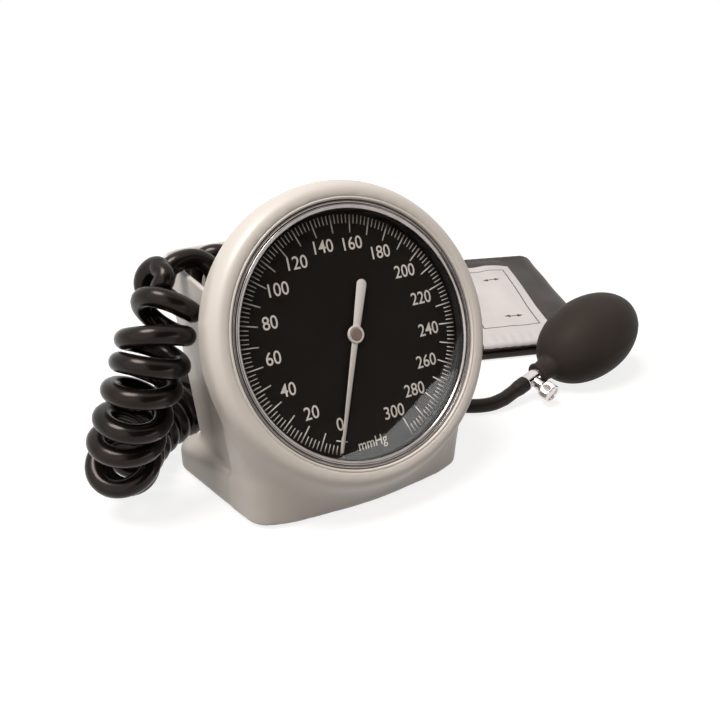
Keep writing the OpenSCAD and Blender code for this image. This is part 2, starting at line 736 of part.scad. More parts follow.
module pressure_inlet() {
  collar = -floor_n + cup_floor + 3.2;
  color("silver") on_dial() translate([stud_x, 0, 0]) {
    translate([0, 0, inside_n]) tube_between(5.4, air_bore, inlet_n - inside_n);
    translate([0, 0, -collar]) tube_between(4, air_bore, collar + inside_n);
    translate([0, 0, cup_n - cup_floor - 1.8]) tube_between(6, 4, 1.7);
    translate([0, 0, -collar]) mirror([0, 0, 1]) barbs(-nozzle_tip - collar, barb_r, air_bore);
  }
}
module sleeve() {
  difference() {
    union() {
      cylinder(r = tube_r + 0.8, h = sleeve_len - 3, $fn = 48);
      translate([0, 0, sleeve_len - 3]) cylinder(r1 = tube_r + 0.8, r2 = tube_r, h = 3, $fn = 48);
    }
    translate([0, 0, -1]) cylinder(r = sleeve_bore, h = sleeve_len, $fn = 48);
  }
}
module tube_sleeves() {
  color("black") {
    on_dial() translate([stud_x, 0, tube_start_n + sleeve_len + end_gap]) mirror([0, 0, 1]) sleeve();
    translate([joint_x, joint_y, joint_z]) rotate([0, -90, 0]) sleeve();
    translate([joint_x + joint_len, joint_y, joint_z]) rotate([0, 90, 0]) sleeve();
  }
}
module connector_male() {
  color("silver") translate([0, joint_y, joint_z]) {
    along_x(joint_x + 0.1) tube_between(5.2, air_bore, 8);
    along_x(joint_x + 8.1) tube_between(3, air_bore, 5);
    translate([joint_x, 0, 0]) rotate([0, -90, 0]) barbs(sleeve_len - 2, barb_r, air_bore);
  }
}
module connector_female() {
  color("silver") translate([0, joint_y, joint_z]) {
    along_x(joint_x + 8.3) difference() {
      tube_between(5.6, air_bore, 17.6);
      translate([0, 0, -1]) cylinder(r = 3.1, h = 7, $fn = 48);
      for (i = [0 : 3]) {
        translate([0, 0, 3 + 3 * i]) tube_between(7, 5.2, 1);
      }
    }
    translate([joint_x + joint_len, 0, 0]) rotate([0, 90, 0]) barbs(sleeve_len - 2, barb_r, air_bore);
  }
}

// A point given in the dial's own directions: right, up the dial and out of it
function from_dial(x, up, out) = [x, up * sin(dial_tilt) - out * cos(dial_tilt),
  dial_height + up * cos(dial_tilt) + out * sin(dial_tilt)];
function ease(t) = let (u = max(0, min(1, t))) u * u * (3 - 2 * u);
function smooth(p, step) = [for (t = [0 : step : len(p) - 1]) spline(p, t)];
// The curled line: the route's own line with the tube wound round it, a route point's last value being
// the turns made up to it
function curl_radius(t, last) = curl_r * ease(t / lead_in) * ease((last - t) / lead_in)
  * (1 - stretch_share * exp(-pow(t - stretch_at, 2)));
function curled(route, steps) =
  let (n = len(route) - 1, last = route[n][3], points = [for (i = [0 : n * steps]) spline(route, i / steps)],
    line = [for (p = points) [p[0], p[1], p[2]]], frames = carried(line))
  [for (i = [0 : n * steps]) let (t = points[i][3], a = 360 * t + curl_phase, f = frames[i])
    line[i] + curl_radius(t, last) * (cos(a) * f[1] + sin(a) * cross(f[0], f[1]))];
// The least distance between two parts of a line that are over two diameters apart along it
function along(line) = [for (i = 0, d = 0; i < len(line); d = d + (i < len(line) - 1 ?
  norm(line[i + 1] - line[i]) : 0), i = i + 1) d];
function least_gap(line) = let (s = along(line)) min([for (i = [0 : len(line) - 8])
  min([for (j = [i + 4 : len(line) - 1]) s[j] - s[i] > 2 * tube_d ? norm(line[j] - line[i]) : 1000])]);

tube_start = from_dial(stud_x, 0, tube_start_n);
tube_start_way = [0, cos(dial_tilt), -sin(dial_tilt)];
tube_end = [joint_x - sleeve_len - end_gap, joint_y, joint_z];
full_curl_route = concat([concat(tube_start + tube_d * tube_start_way, [0])], curl_route,
  [concat(tube_end - [tube_d, 0, 0], [curl_count])]);

module curly_tube() {
  color("black") swept(concat([tube_start], curled(full_curl_route, curl_steps), [tube_end]),
    tube_r, curl_sides);
  fine = curled(full_curl_route, 32);
  echo(least_gap_of_curls = least_gap(fine) - tube_d,
    lowest = min([for (p = fine) p[2]]) - tube_r);
}
cuff_way = [cos(cuff_turn), sin(cuff_turn), 0];
cuff_across = [-sin(cuff_turn), cos(cuff_turn), 0];
function cuff_port(x, z) = [cuff_corner[0], cuff_corner[1], z] + x * cuff_way;

module cuff_tube() {
  start = [joint_x + joint_len + sleeve_len + end_gap, joint_y, joint_z];
  last = cuff_port(tube_port, 5);
  color("black") swept(concat([start], smooth(concat([start + [tube_d, 0, 0]], cuff_tube_route,
    [last - tube_d * cuff_across]), 0.5), [last]), tube_r, 8);
}
bulb_way = [cos(bulb_yaw) * cos(bulb_tilt), sin(bulb_yaw) * cos(bulb_tilt), sin(bulb_tilt)];
module bulb_hose() {
  start = [bulb_x, bulb_y, bulb_z] + hose_end_at * bulb_way;
  last = cuff_port(hose_port, 4.6);
  color("black") swept(concat([start], smooth(concat([start - hose_d * bulb_way], hose_route,
    [last - hose_d * cuff_across]), 0.5), [last]), hose_d / 2, 10);
}
module hose_end() {
  color("black") at_bulb() translate([valve_end - 0.1, 0, 0]) rotate([0, -90, 0]) difference() {
    union() {
      cylinder(r = hose_d / 2 + 0.6, h = sleeve_len - 4.1, $fn = 48);
      translate([0, 0, sleeve_len - 4.1]) cylinder(r1 = hose_d / 2 + 0.6, r2 = hose_d / 2, h = 4, $fn = 48);
    }
    translate([0, 0, -1]) cylinder(r = sleeve_bore, h = sleeve_len, $fn = 48);
  }
}

// One cross-section of the folded cuff, at share v from its near edge to its far edge
function cuff_edge(v) = min(1, 0.55 + 7.5 * min(v, 1 - v));
function cuff_high(v) = cuff_near_h + (cuff_far_h - cuff_near_h) * v;
function cuff_fold(v, side) =
  let (h = side * cuff_half * cuff_edge(v), top = cuff_high(v), r = (top - cuff_low) / 2,
    end = cuff_length - r - cuff_half)
  concat([for (i = [0 : 3]) [end * i / 3, top + h]],
    [for (i = [1 : 7]) let (a = 90 - 180 * i / 8)
      [end + (r + h) * cos(a), (top + cuff_low) / 2 + (r + h) * sin(a)]],
    [for (i = [3 : -1 : 0]) [end * i / 3, cuff_low - h]]);
function cuff_section(v) = let (back = cuff_fold(v, -1))
  [for (p = concat(cuff_fold(v, 1), [for (i = [len(back) - 1 : -1 : 0]) back[i]]))
    [p[0], v * cuff_width, p[1]]];

module in_upper_layer(x, y, low, size) {
  translate([0, 0, cuff_near_h]) rotate([cuff_slope, 0, 0]) translate([x, y, low]) cube(size);
}
module bladder_form(g) {
  edge = 14;
  in_upper_layer(edge - g, edge - g, -bladder_half - g,
    [cuff_length - 3 * edge + 2 * g, cuff_width - 2 * edge + 2 * g, 2 * (bladder_half + g)]);
  in_upper_layer(-1, cuff_width / 2 - 20 - g, -bladder_half - g,
    [edge + 2, 40 + 2 * g, 2 * (bladder_half + g)]);
}
module cuff_sleeve() {
  sections = [for (v = edge_stations) cuff_section(v)];
  n = len(sections[0]);
  count = len(sections);
  far = (count - 1) * n;
  color("dimgray") at_cuff() difference() {
    polyhedron([for (s = sections) each s], concat(
      [for (k = [0 : n / 2 - 2]) [k, k + 1, n - 2 - k, n - 1 - k]],
      [for (i = [0 : count - 2], k = [0 : n - 1], f = strip_pair(i * n, k, n)) [f[2], f[1], f[0]]],
      [for (k = [0 : n / 2 - 2]) [far + n - 1 - k, far + n - 2 - k, far + k + 1, far + k]]), 4);
    bladder_form(bladder_gap);
  }
}
module cuff_bladder() {
  color("black") at_cuff() bladder_form(0);
}
module cuff_label() {
  color("white") at_cuff() in_upper_layer(label_left, label_near, cuff_half,
    [label_length, label_width, label_thick]);
}

module round_x(points) {
  rotate([0, 90, 0]) rotate_extrude() polygon(points);
}
module bulb() {
  steps = 18;
  mouth = 5;
  inner_r = bulb_r - bulb_wall;
  inner_half = bulb_half_length - bulb_wall;
  first = asin(mouth / bulb_r);
  last = 180 - asin((neck_r + 1.6) / bulb_r);
  inner_first = asin(mouth / inner_r);
  inner_last = 180 - asin(neck_bore / inner_r);
  color("black") at_bulb() round_x(concat(
    [for (i = [0 : steps]) let (a = first + (last - first) * i / steps)
      [bulb_r * sin(a), bulb_half_length * cos(a)]],
    [[neck_r + 0.6, neck_end + 8.4], [neck_r + 0.1, neck_end + 6], [neck_r, neck_end + 0.7],
     [neck_r - 0.7, neck_end], [neck_bore, neck_end]],
    [for (i = [0 : steps]) let (a = inner_last + (inner_first - inner_last) * i / steps)
      [inner_r * sin(a), inner_half * cos(a)]]));
}
module valve_body() {
  color("silver") {
    at_bulb() difference() {
      union() {
        round_x([[1.3, neck_end + 8.5], [neck_bore - 0.05, neck_end + 8.5],
          [neck_bore - 0.05, neck_end - 0.1], [valve_r - 0.3, neck_end - 0.1], [valve_r, neck_end - 0.5],
          [valve_r, valve_end + 0.6], [valve_r - 0.6, valve_end], [1.3, valve_end]]);
        translate([screw_at, 0, 0]) rotate([90 + screw_roll, 0, 0]) translate([0, 0, 2])
          cylinder(r = 3.6, h = boss_top - 2, $fn = 48);
      }
      translate([screw_at, 0, 0]) rotate([90 + screw_roll, 0, 0]) {
        translate([0, 0, seat_at]) cylinder(r = spindle_r + run_gap, h = 10, $fn = 32);
        cylinder(r = 0.6, h = 4, $fn = 24);
      }
    }
    at_bulb() translate([valve_end, 0, 0]) rotate([0, -90, 0]) barbs(sleeve_len - 2, barb_r, 1.3);
  }
}
module valve_seal() {
  color("dimgray") at_screw() translate([0, 0, seat_at + 0.02])
    cylinder(r = spindle_r - 0.1, h = seal_thick, $fn = 32);
}
module valve_knob() {
  ridges = 30;
  r = knob_d / 2;
  color("silver") at_screw() {
    translate([0, 0, seat_at + seal_thick + 0.05])
      cylinder(r = spindle_r, h = knob_low - seat_at - seal_thick, $fn = 32);
    translate([0, 0, boss_top + 0.4]) cylinder(r = 3.4, h = knob_low - boss_top, $fn = 48);
    difference() {
      translate([0, 0, knob_low]) {
        linear_extrude(knob_grip) polygon([for (k = [0 : 2 * ridges - 1])
          (r - (k % 2) * 0.35) * [cos(180 * k / ridges), sin(180 * k / ridges)]]);
      }
      translate([0, 0, knob_low + knob_grip - 0.9]) cylinder(r = r - 1.5, h = 2, $fn = 48);
    }
  }
}
module inlet_valve() {
  far = bulb_half_length;
  color("silver") at_bulb() round_x([[1.2, far - 1], [1.2, far + 0.5], [4.4, far + 0.5], [5.6, far - 0.1],
    [4.9, far - 0.5], [4.9, far - 12], [1.0, far - 12], [1.0, far - 9.5],
    [inlet_ball_r + 0.15, far - 9], [inlet_ball_r + 0.15, far - 2.4]]);
}
module inlet_ball() {
  color("silver") at_bulb() translate([bulb_half_length - 2.4 - inlet_ball_r - 0.35, 0, 0])
    sphere(r = inlet_ball_r, $fn = 32);
}

front_housing();
rear_basket();
base_plate();
rubber_feet();
housing_screws();
gauge_case();
case_screws();
bezel_ring();
lens();
spacer_ring();
dial_plate();
pointer();
pointer_cap();
pinion_staff();
sector_gear();
sector_arbor();
rocker();
hairspring();
front_plate();
back_plate();
plate_pillars();
movement_legs();
movement_screws();
capsule();
capsule_stud();
pressure_inlet();
curly_tube();
tube_sleeves();
connector_male();
connector_female();
cuff_tube();
cuff_sleeve();
cuff_bladder();
cuff_label();
bulb_hose();
hose_end();
valve_body();
valve_seal();
valve_knob();
bulb();
inlet_valve();
inlet_ball();
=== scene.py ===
import math

import bmesh
import bpy
import numpy as np
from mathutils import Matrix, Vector, noise


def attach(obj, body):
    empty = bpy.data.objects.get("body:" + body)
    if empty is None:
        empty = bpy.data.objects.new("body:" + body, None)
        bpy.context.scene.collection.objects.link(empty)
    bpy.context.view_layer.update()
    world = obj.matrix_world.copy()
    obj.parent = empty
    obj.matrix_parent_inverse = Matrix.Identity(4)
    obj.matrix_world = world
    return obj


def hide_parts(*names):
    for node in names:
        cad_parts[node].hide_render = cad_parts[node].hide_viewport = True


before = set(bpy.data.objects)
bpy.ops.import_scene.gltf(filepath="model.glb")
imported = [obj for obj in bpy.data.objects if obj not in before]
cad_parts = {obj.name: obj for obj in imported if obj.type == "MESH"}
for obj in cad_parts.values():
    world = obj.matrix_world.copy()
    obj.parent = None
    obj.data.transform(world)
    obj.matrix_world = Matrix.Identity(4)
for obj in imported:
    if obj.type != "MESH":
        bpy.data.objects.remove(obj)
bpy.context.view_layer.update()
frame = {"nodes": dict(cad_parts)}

mm = 0.001

# measures that several pieces of the gauge share, in mm; each piece has its own beside its code
gauge = {
    "height": 88, "tilt": 23.5, "dialRadius": 62, "lensSeat": 3.8, "lensThick": 1.6, "lensRise": 2,
    "cupRadius": 43.1, "cupEnd": -31.5, "cupBore": 40.8, "cupFloor": -29.1, "studX": -4.881,
    "spigotRoom": 4.6, "spigotEnd": -45.1,
}


def unit(v):
    return v / np.linalg.norm(v)


def ease(t):
    u = min(max(t, 0.0), 1.0)
    return u * u * (3 - 2 * u)


def mix(a, b, t):
    return a + (b - a) * t


def bell(x, wide=1.0):
    return math.exp(-(x / wide) ** 2)


def around(degrees):
    a = math.radians(degrees)
    return math.cos(a), math.sin(a)


tiltCos, tiltSin = around(gauge["tilt"])


def dialPoint(x, up, out):
    # a place on the dial: to its right, up its face and out towards the viewer
    return x, up * tiltSin - out * tiltCos, gauge["height"] + up * tiltCos + out * tiltSin


def putIn(name, data):
    thing = bpy.data.objects.new(name, data)
    bpy.context.scene.collection.objects.link(thing)
    return thing


def settle(piece, body, hides=()):
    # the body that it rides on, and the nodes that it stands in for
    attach(piece, body)
    if hides:
        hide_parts(*hides)
    return piece


def addPiece(name, points, faces, body, material, hides=(), crease=None):
    mesh = bpy.data.meshes.new(name)
    mesh.from_pydata((np.array(points, float) * mm).tolist(), [], faces)
    mesh.update()
    bm = bmesh.new()
    bm.from_mesh(mesh)
    bmesh.ops.remove_doubles(bm, verts=bm.verts, dist=1e-7)
    bmesh.ops.recalc_face_normals(bm, faces=bm.faces)
    if crease is not None:
        for e in bm.edges:
            if len(e.link_faces) == 2 and e.calc_face_angle(0.0) > math.radians(crease):
                e.smooth = False
    bm.to_mesh(mesh)
    bm.free()
    mesh.polygons.foreach_set("use_smooth", [True] * len(mesh.polygons))
    mesh.materials.append(material)
    return settle(putIn(name, mesh), body, hides)


class Shape:
    # points and faces gathered from several parts of one piece
    def __init__(self):
        self.points, self.faces = [], []

    def add(self, points, faces):
        start = len(self.points)
        self.points += [tuple(p) for p in points]
        self.faces += [tuple(start + k for k in f) for f in faces]


def gridFaces(rows, columns, across=False, along=False):
    # quads between rows of points; across and along say which way the grid closes on itself
    faces = []
    for i in range(rows if along else rows - 1):
        for k in range(columns if across else columns - 1):
            near, far = i * columns, (i + 1) % rows * columns
            faces.append((near + k, near + (k + 1) % columns, far + (k + 1) % columns, far + k))
    return faces


def turned(profile, place, steps=160, capped=False):
    # a profile of (radius, along) turned round an axis; capped closes its two ends on the axis,
    # and otherwise the profile itself is a closed line
    points = []
    for k in range(steps):
        a = 2 * math.pi * k / steps
        points += [place(r * math.cos(a), r * math.sin(a), h) for r, h in profile]
    n = len(profile)
    faces = gridFaces(steps, n, across=not capped, along=True)
    if capped:
        points += [place(0, 0, profile[0][1]), place(0, 0, profile[-1][1])]
        for k in range(steps):
            j = (k + 1) % steps
            faces += [(steps * n, j * n, k * n), (steps * n + 1, k * n + n - 1, j * n + n - 1)]
    return points, faces


def arcPoints(cx, cy, r, a0, a1, n):
    ways = [around(mix(a0, a1, i / n)) for i in range(n + 1)]
    return [(cx + r * x, cy + r * y) for x, y in ways]


# camera: its place in metres, and how many degrees it looks to the right and down
look = {"place": (-0.1850, -0.3159, 0.2465), "right": 30.8, "down": 25.2, "lens": 40.55}


def makeCamera():
    data = bpy.data.cameras.new("camera")
    data.lens = look["lens"]
    data.sensor_width = 36
    data.clip_start, data.clip_end = 0.01, 20
    camera = putIn("camera", data)
    camera.location = look["place"]
    camera.rotation_euler = (math.radians(90 - look["down"]), 0, math.radians(-look["right"]))
    bpy.context.scene.camera = camera


makeCamera()
print("camera placed")


# finishes
def newFinish(name, **values):
    # a Principled surface; a value that is the same all over is set on its own socket
    material = bpy.data.materials.new(name)
    material.use_nodes = True
    shader = material.node_tree.nodes["Principled BSDF"]
    for key, value in values.items():
        socket = shader.inputs[key.replace("_", " ")]
        socket.default_value = (*value, 1) if isinstance(value, tuple) else value
    return material, shader


def addNode(material, kind, inputs=(), **settings):
    node = material.node_tree.nodes.new("ShaderNode" + kind)
    for key, value in settings.items():
        setattr(node, key, value)
    for key, value in dict(inputs).items():
        if isinstance(value, bpy.types.NodeSocket):
            material.node_tree.links.new(value, node.inputs[key])
        else:
            node.inputs[key].default_value = value
    return node


def plug(material, output, socket):
    material.node_tree.links.new(output, socket)


def places(material, turn=(0, 0, 0)):
    # where a point is on the object, in metres, turned for a weave that lies at a slant
    found = addNode(material, "TexCoord").outputs["Object"]
    return addNode(material, "Mapping", {"Vector": found, "Rotation": turn}).outputs["Vector"]


def vary(material, shader, at, colour, darker, size, spread=(0.35, 0.65), detail=3):
    # the colour wanders between two near shades in soft patches
    patches = addNode(material, "TexNoise", {"Vector": at, "Scale": size, "Detail": detail})
    ramp = addNode(material, "ValToRGB", {"Fac": patches.outputs["Fac"]})
    ramp.color_ramp.elements[0].position, ramp.color_ramp.elements[1].position = spread
    ramp.color_ramp.elements[0].color = (*darker, 1)
    ramp.color_ramp.elements[1].color = (*colour, 1)
    plug(material, ramp.outputs["Color"], shader.inputs["Base Color"])


def varyGloss(material, shader, at, low, high, size):
    # so does the shine, between two roughnesses
    patches = addNode(material, "TexNoise", {"Vector": at, "Scale": size, "Detail": 4})
    span = addNode(material, "MapRange", {"Value": patches.outputs["Fac"], "From Min": 0.3,
                                          "From Max": 0.7, "To Min": low, "To Max": high})
    plug(material, span.outputs["Result"], shader.inputs["Roughness"])


def addBump(material, shader, height, strength, depth):
    # small bumps on the surface, their depth in metres
    bump = addNode(material, "Bump", {"Height": height, "Strength": strength, "Distance": depth})
    plug(material, bump.outputs["Normal"], shader.inputs["Normal"])


def grain(material, shader, at, size, depth, strength=0.5):
    specks = addNode(material, "TexNoise", {"Vector": at, "Scale": size, "Detail": 2})
    addBump(material, shader, specks.outputs["Fac"], strength, depth)


def mouldedPlastic(name, colour, darker, low, high, size=1400, depth=0.00002, coat=0.0, shine=0.5):
    material, shader = newFinish(name, Base_Color=colour, Roughness=(low + high) / 2,
                                 Specular_IOR_Level=shine, Coat_Weight=coat, Coat_Roughness=0.15)
    at = places(material)
    vary(material, shader, at, colour, darker, 22)
    varyGloss(material, shader, at, low, high, 90)
    grain(material, shader, at, size, depth)
    return material


def metal(name, colour, darker, low, high):
    material, shader = newFinish(name, Base_Color=colour, Metallic=1.0, Roughness=(low + high) / 2)
    at = places(material)
    vary(material, shader, at, colour, darker, 160)
    varyGloss(material, shader, at, low, high, 420)
    grain(material, shader, at, 1600, 0.000004, 0.35)
    return material


# each one's name, its colour and a darker one, and its least and most roughness; a plastic may also
# have the size and depth of its grain, its clear coat and its shine
plastics = {
    "housing": ("satin grey plastic", (0.60, 0.55, 0.50), (0.58, 0.53, 0.48), 0.36, 0.46, 2600, 0.000012,
                0.05),
    "base": ("matt grey plastic", (0.50, 0.455, 0.41), (0.46, 0.42, 0.38), 0.5, 0.6),
    "feet": ("foot rubber", (0.04, 0.036, 0.033), (0.03, 0.027, 0.025), 0.6, 0.75, 900),
    "case": ("dark case", (0.030, 0.027, 0.025), (0.024, 0.021, 0.020), 0.38, 0.5),
    "dial": ("dial black", (0.0095, 0.0065, 0.0050), (0.0080, 0.0055, 0.0042), 0.5, 0.58, 1800, 0.000002,
             0.0, 0.12),
    "print": ("dial print", (0.76, 0.70, 0.65), (0.71, 0.655, 0.605), 0.5, 0.6, 3000, 0.000002),
    "pointer": ("pointer paint", (0.72, 0.675, 0.64), (0.69, 0.645, 0.61), 0.35, 0.42, 2400, 0.000004),
    "cap": ("cap plastic", (0.26, 0.185, 0.155), (0.22, 0.155, 0.13), 0.3, 0.4),
    "coil": ("gloss black tube", (0.0085, 0.0062, 0.0052), (0.006, 0.0045, 0.0038), 0.19, 0.26, 700,
             0.00001, 0.0, 0.24),
    "hose": ("matt black hose", (0.014, 0.0105, 0.0085), (0.010, 0.0075, 0.006), 0.42, 0.52, 1500,
             0.00002, 0.0, 0.22),
    "bulb": ("bulb rubber", (0.040, 0.032, 0.028), (0.033, 0.0265, 0.023), 0.48, 0.56, 1200, 0.00003,
             0.0, 0.06),
    "seal": ("seal rubber", (0.05, 0.05, 0.05), (0.035, 0.035, 0.035), 0.55, 0.7),
}
metals = {
    "ring": ("satin ring metal", (0.38, 0.345, 0.33), (0.33, 0.30, 0.285), 0.14, 0.24),
    "chrome": ("chrome", (0.76, 0.71, 0.69), (0.68, 0.635, 0.615), 0.16, 0.26),
    "steel": ("steel", (0.62, 0.62, 0.61), (0.52, 0.52, 0.52), 0.26, 0.38),
    "brass": ("brass", (0.76, 0.57, 0.27), (0.66, 0.48, 0.22), 0.24, 0.36),
    "bronze": ("capsule bronze", (0.70, 0.48, 0.30), (0.60, 0.40, 0.25), 0.24, 0.34),
}
finishes = {key: mouldedPlastic(*values) for key, values in plastics.items()}
finishes.update({key: metal(*values) for key, values in metals.items()})
warmShine = (1, 0.84, 0.78, 1)  # black rubber shines a little warm
for name in ("coil", "hose", "bulb"):
    shader = finishes[name].node_tree.nodes["Principled BSDF"]
    shader.inputs["Specular Tint"].default_value = warmShine

# how much of the room the lens reflects, straight on and more at a slant, and what it lets through
lensLook = {
    "straight": 0.021, "slant": 0.94, "steep": 5.0, "rough": 0.02, "clear": (0.985, 0.985, 0.98, 1),
}


def lensGlass():
    material = bpy.data.materials.new("lens glass")
    material.use_nodes = True
    nodes = material.node_tree.nodes
    nodes.remove(nodes["Principled BSDF"])
    # the same from inside and outside, so that lamps light the dial through it
    facing = addNode(material, "LayerWeight", {"Blend": 0.5}).outputs["Facing"]
    grazing = addNode(material, "Math", {0: facing, 1: lensLook["steep"]}, operation="POWER").outputs[0]
    edge = addNode(material, "Math", {0: grazing, 1: lensLook["slant"], 2: lensLook["straight"]},
                   operation="MULTIPLY_ADD")
    shine = addNode(material, "BsdfGlossy", {"Roughness": lensLook["rough"], "Color": (1, 1, 1, 1)})
    clear = addNode(material, "BsdfTransparent", {"Color": lensLook["clear"]})
    both = addNode(material, "MixShader", {0: edge.outputs[0], 1: clear.outputs[0], 2: shine.outputs[0]})
    plug(material, both.outputs[0], nodes["Material Output"].inputs["Surface"])
    return material


finishes["glass"] = lensGlass()
print("finishes made:", len(finishes))


# cords: each one's route, in mm, is the one that its solid follows
curlyTube = {
    "width": 9.8, "curl": 13.5, "turns": 22, "turned": 223.98, "leadIn": 1.3, "tightAt": 6.7,
    "tight": 0.42, "end": (-18.1, 97, 6), "steps": 40,
    # each point's place, and the turns made up to it
    "route": [
        [-10.60, 54.49, 72.35, 1.029], [-18.73, 58.52, 81.48, 2.138], [-26.64, 61.82, 90.02, 3.253],
        [-34.65, 64.63, 98.53, 4.313], [-41.90, 66.27, 104.67, 5.032], [-47.57, 61.53, 106.91, 5.399],
        [-59.46, 54.93, 112.89, 6.061], [-71.00, 45.37, 114.57, 6.357], [-81.07, 45.42, 113.21, 6.550],
        [-76.69, 45.09, 117.23, 6.764], [-75.03, 35.51, 113.90, 7.006], [-87.80, 28.68, 101.51, 8.386],
        [-93.20, 25.49, 88.44, 9.338], [-99.70, 23.69, 75.33, 10.582], [-105.18, 26.09, 59.97, 11.567],
        [-109.53, 29.91, 45.49, 12.816], [-110.63, 38.21, 28.72, 13.728], [-106.93, 52.23, 20.27, 14.584],
        [-98.56, 67.25, 18.67, 15.674], [-89.68, 77.92, 18.81, 16.824], [-80.25, 86.34, 19.17, 17.820],
        [-68.48, 93.54, 19.43, 18.875], [-55.79, 98.74, 19.37, 20.014], [-42.05, 101.33, 16.99, 20.978]],
}
cuffTube = {
    "width": 9.8, "start": (28.1, 97, 6), "end": (75.28, 113.14, 5), "inside": 4.5,
    "route": [[48, 97, 5.6], [58, 97.5, 5.2], [66, 100, 5]],
}
bulbHose = {
    "width": 9, "start": -71.1, "end": (95.30, 106.79, 4.6),
    "route": [[116, 27.5, 4.7], [106, 30.5, 4.6], [97, 37, 4.6], [90, 48, 4.6], [86.5, 62, 4.6],
              [86.5, 78, 4.6], [89, 90, 4.6]],
}
bulb = {
    "centre": (201.9, 34.8, 28.25), "width": 54, "halfLength": 40.5, "up": 16, "round": 6,
    "neck": 6.6, "neckEnd": -50, "mouth": 5, "wall": 3, "bore": 4.6,
    "seam": 0.16, "seamWide": 0.9, "uneven": 0.22,
}
cuff = {
    "corner": (50.5, 121), "turned": -17.6, "width": 142, "length": 196, "half": 2.7,
    "nearHigh": 9.4, "farHigh": 26, "low": 2.7,
}


def spline(route, t):
    i = min(int(t), len(route) - 2)
    u = t - i
    a, b, c, d = (route[max(i - 1, 0)], route[i], route[i + 1], route[min(i + 2, len(route) - 1)])
    return b + u * ((c - a) / 2 + u * (a - 2.5 * b + 2 * c - d / 2
                                      + u * (1.5 * b - 1.5 * c + d / 2 - a / 2)))


def carried(line):
    # a side direction carried along a line without twisting
    ways = [unit(line[min(i + 1, len(line) - 1)] - line[max(i - 1, 0)]) for i in range(len(line))]
    side, sides = unit(np.cross(ways[0], (0.3, 0.1, 1))), []
    for way in ways:
        side = unit(side - np.dot(side, way) * way)
        sides.append(side)
    return ways, sides


def curled(route, spec):
    # a line wound round the route: a radius that grows from nothing at each end, tighter at one place
    last, steps = route[-1][3], spec["steps"]
    points = [spline(route, i / steps) for i in range((len(route) - 1) * steps + 1)]
    line = [p[:3] for p in points]
    ways, sides = carried(line)
    out = []
    for p, way, side in zip(points, ways, sides):
        t = p[3]
        c, s = around(360 * t + spec["turned"])
        r = spec["curl"] * ease(t / spec["leadIn"]) * ease((last - t) / spec["leadIn"])
        r *= 1 - spec["tight"] * bell(t - spec["tightAt"])
        out.append(p[:3] + r * (c * side + s * np.cross(way, side)))
    return out


def lineLength(line):
    return sum(float(np.linalg.norm(b - a)) for a, b in zip(line, line[1:])) * mm


def addCord(name, line, width, material, hides):
    data = bpy.data.curves.new(name, "CURVE")
    data.dimensions = "3D"
    data.bevel_depth = width / 2 * mm
    data.bevel_resolution = 6
    data.use_fill_caps = True
    strand = data.splines.new("POLY")
    strand.points.add(len(line) - 1)
    for point, p in zip(strand.points, line):
        point.co = (*(np.array(p) * mm), 1)
    strand.use_smooth = True
    data.materials.append(material)
    return settle(putIn(name, data), "stand", (hides,))


(ahead, up), (x, y) = around(bulb["up"]), around(bulb["round"])
bulbWay, bulbSide = np.array((x * ahead, y * ahead, up)), np.array((-y, x, 0))
bulbRise = np.cross(bulbWay, bulbSide)
x, y = around(cuff["turned"])
cuffWay, cuffAcross = np.array((x, y, 0)), np.array((-y, x, 0))


def bulbPoint(along, across=0.0, rise=0.0):
    return np.array(bulb["centre"]) + along * bulbWay + across * bulbSide + rise * bulbRise


def cuffPoint(along, across, high):
    return np.array((*cuff["corner"], 0)) + along * cuffWay + across * cuffAcross + np.array((0, 0, high))


# the coil starts on the gauge's spigot inside the basket and ends on the lower connector
tubeStart = np.array(dialPoint(gauge["studX"], 0, gauge["spigotEnd"]))
tubeWay = np.array((0, tiltCos, -tiltSin))
ends = curlyTube["width"]
route = [np.array([*(tubeStart + ends * tubeWay), 0])] + [np.array(p) for p in curlyTube["route"]]
route.append(np.array([*(np.array(curlyTube["end"]) - (ends, 0, 0)), curlyTube["turns"]]))
coilLine = [tubeStart] + curled(route, curlyTube) + [np.array(curlyTube["end"])]
coilPiece = addCord("curlyTube", coilLine, curlyTube["width"], finishes["coil"], "curly_tube")
print("curly tube:", round(lineLength(coilLine), 3), "m")


def plainCord(name, spec, line, material, hides, steps=12):
    # a cord without curls: straight at both ends and smooth between them
    points = [np.array(p, float) for p in line]
    smooth = [spline(points[1:-1], i / steps) for i in range((len(points) - 3) * steps + 1)]
    smooth = [points[0]] + smooth + [points[-1]]
    print(name + ":", round(lineLength(smooth), 3), "m")
    return addCord(name, smooth, spec["width"], material, hides), smooth


first, last = np.array(cuffTube["start"]), np.array(cuffTube["end"])
cuffTubePiece, cuffTubeLine = plainCord(
    "cuffTube", cuffTube, [first, first + (cuffTube["width"], 0, 0), *cuffTube["route"],
                           last - cuffTube["width"] * cuffAcross, last + cuffTube["inside"] * cuffAcross],
    finishes["hose"], "cuff_tube")
first, last = bulbPoint(bulbHose["start"]), np.array(bulbHose["end"])
bulbHosePiece, bulbHoseLine = plainCord(
    "bulbHose", bulbHose, [first, first - bulbHose["width"] * bulbWay, *bulbHose["route"],
                           last - bulbHose["width"] * cuffAcross, last],
    finishes["hose"], "bulb_hose")
print("cords laid")


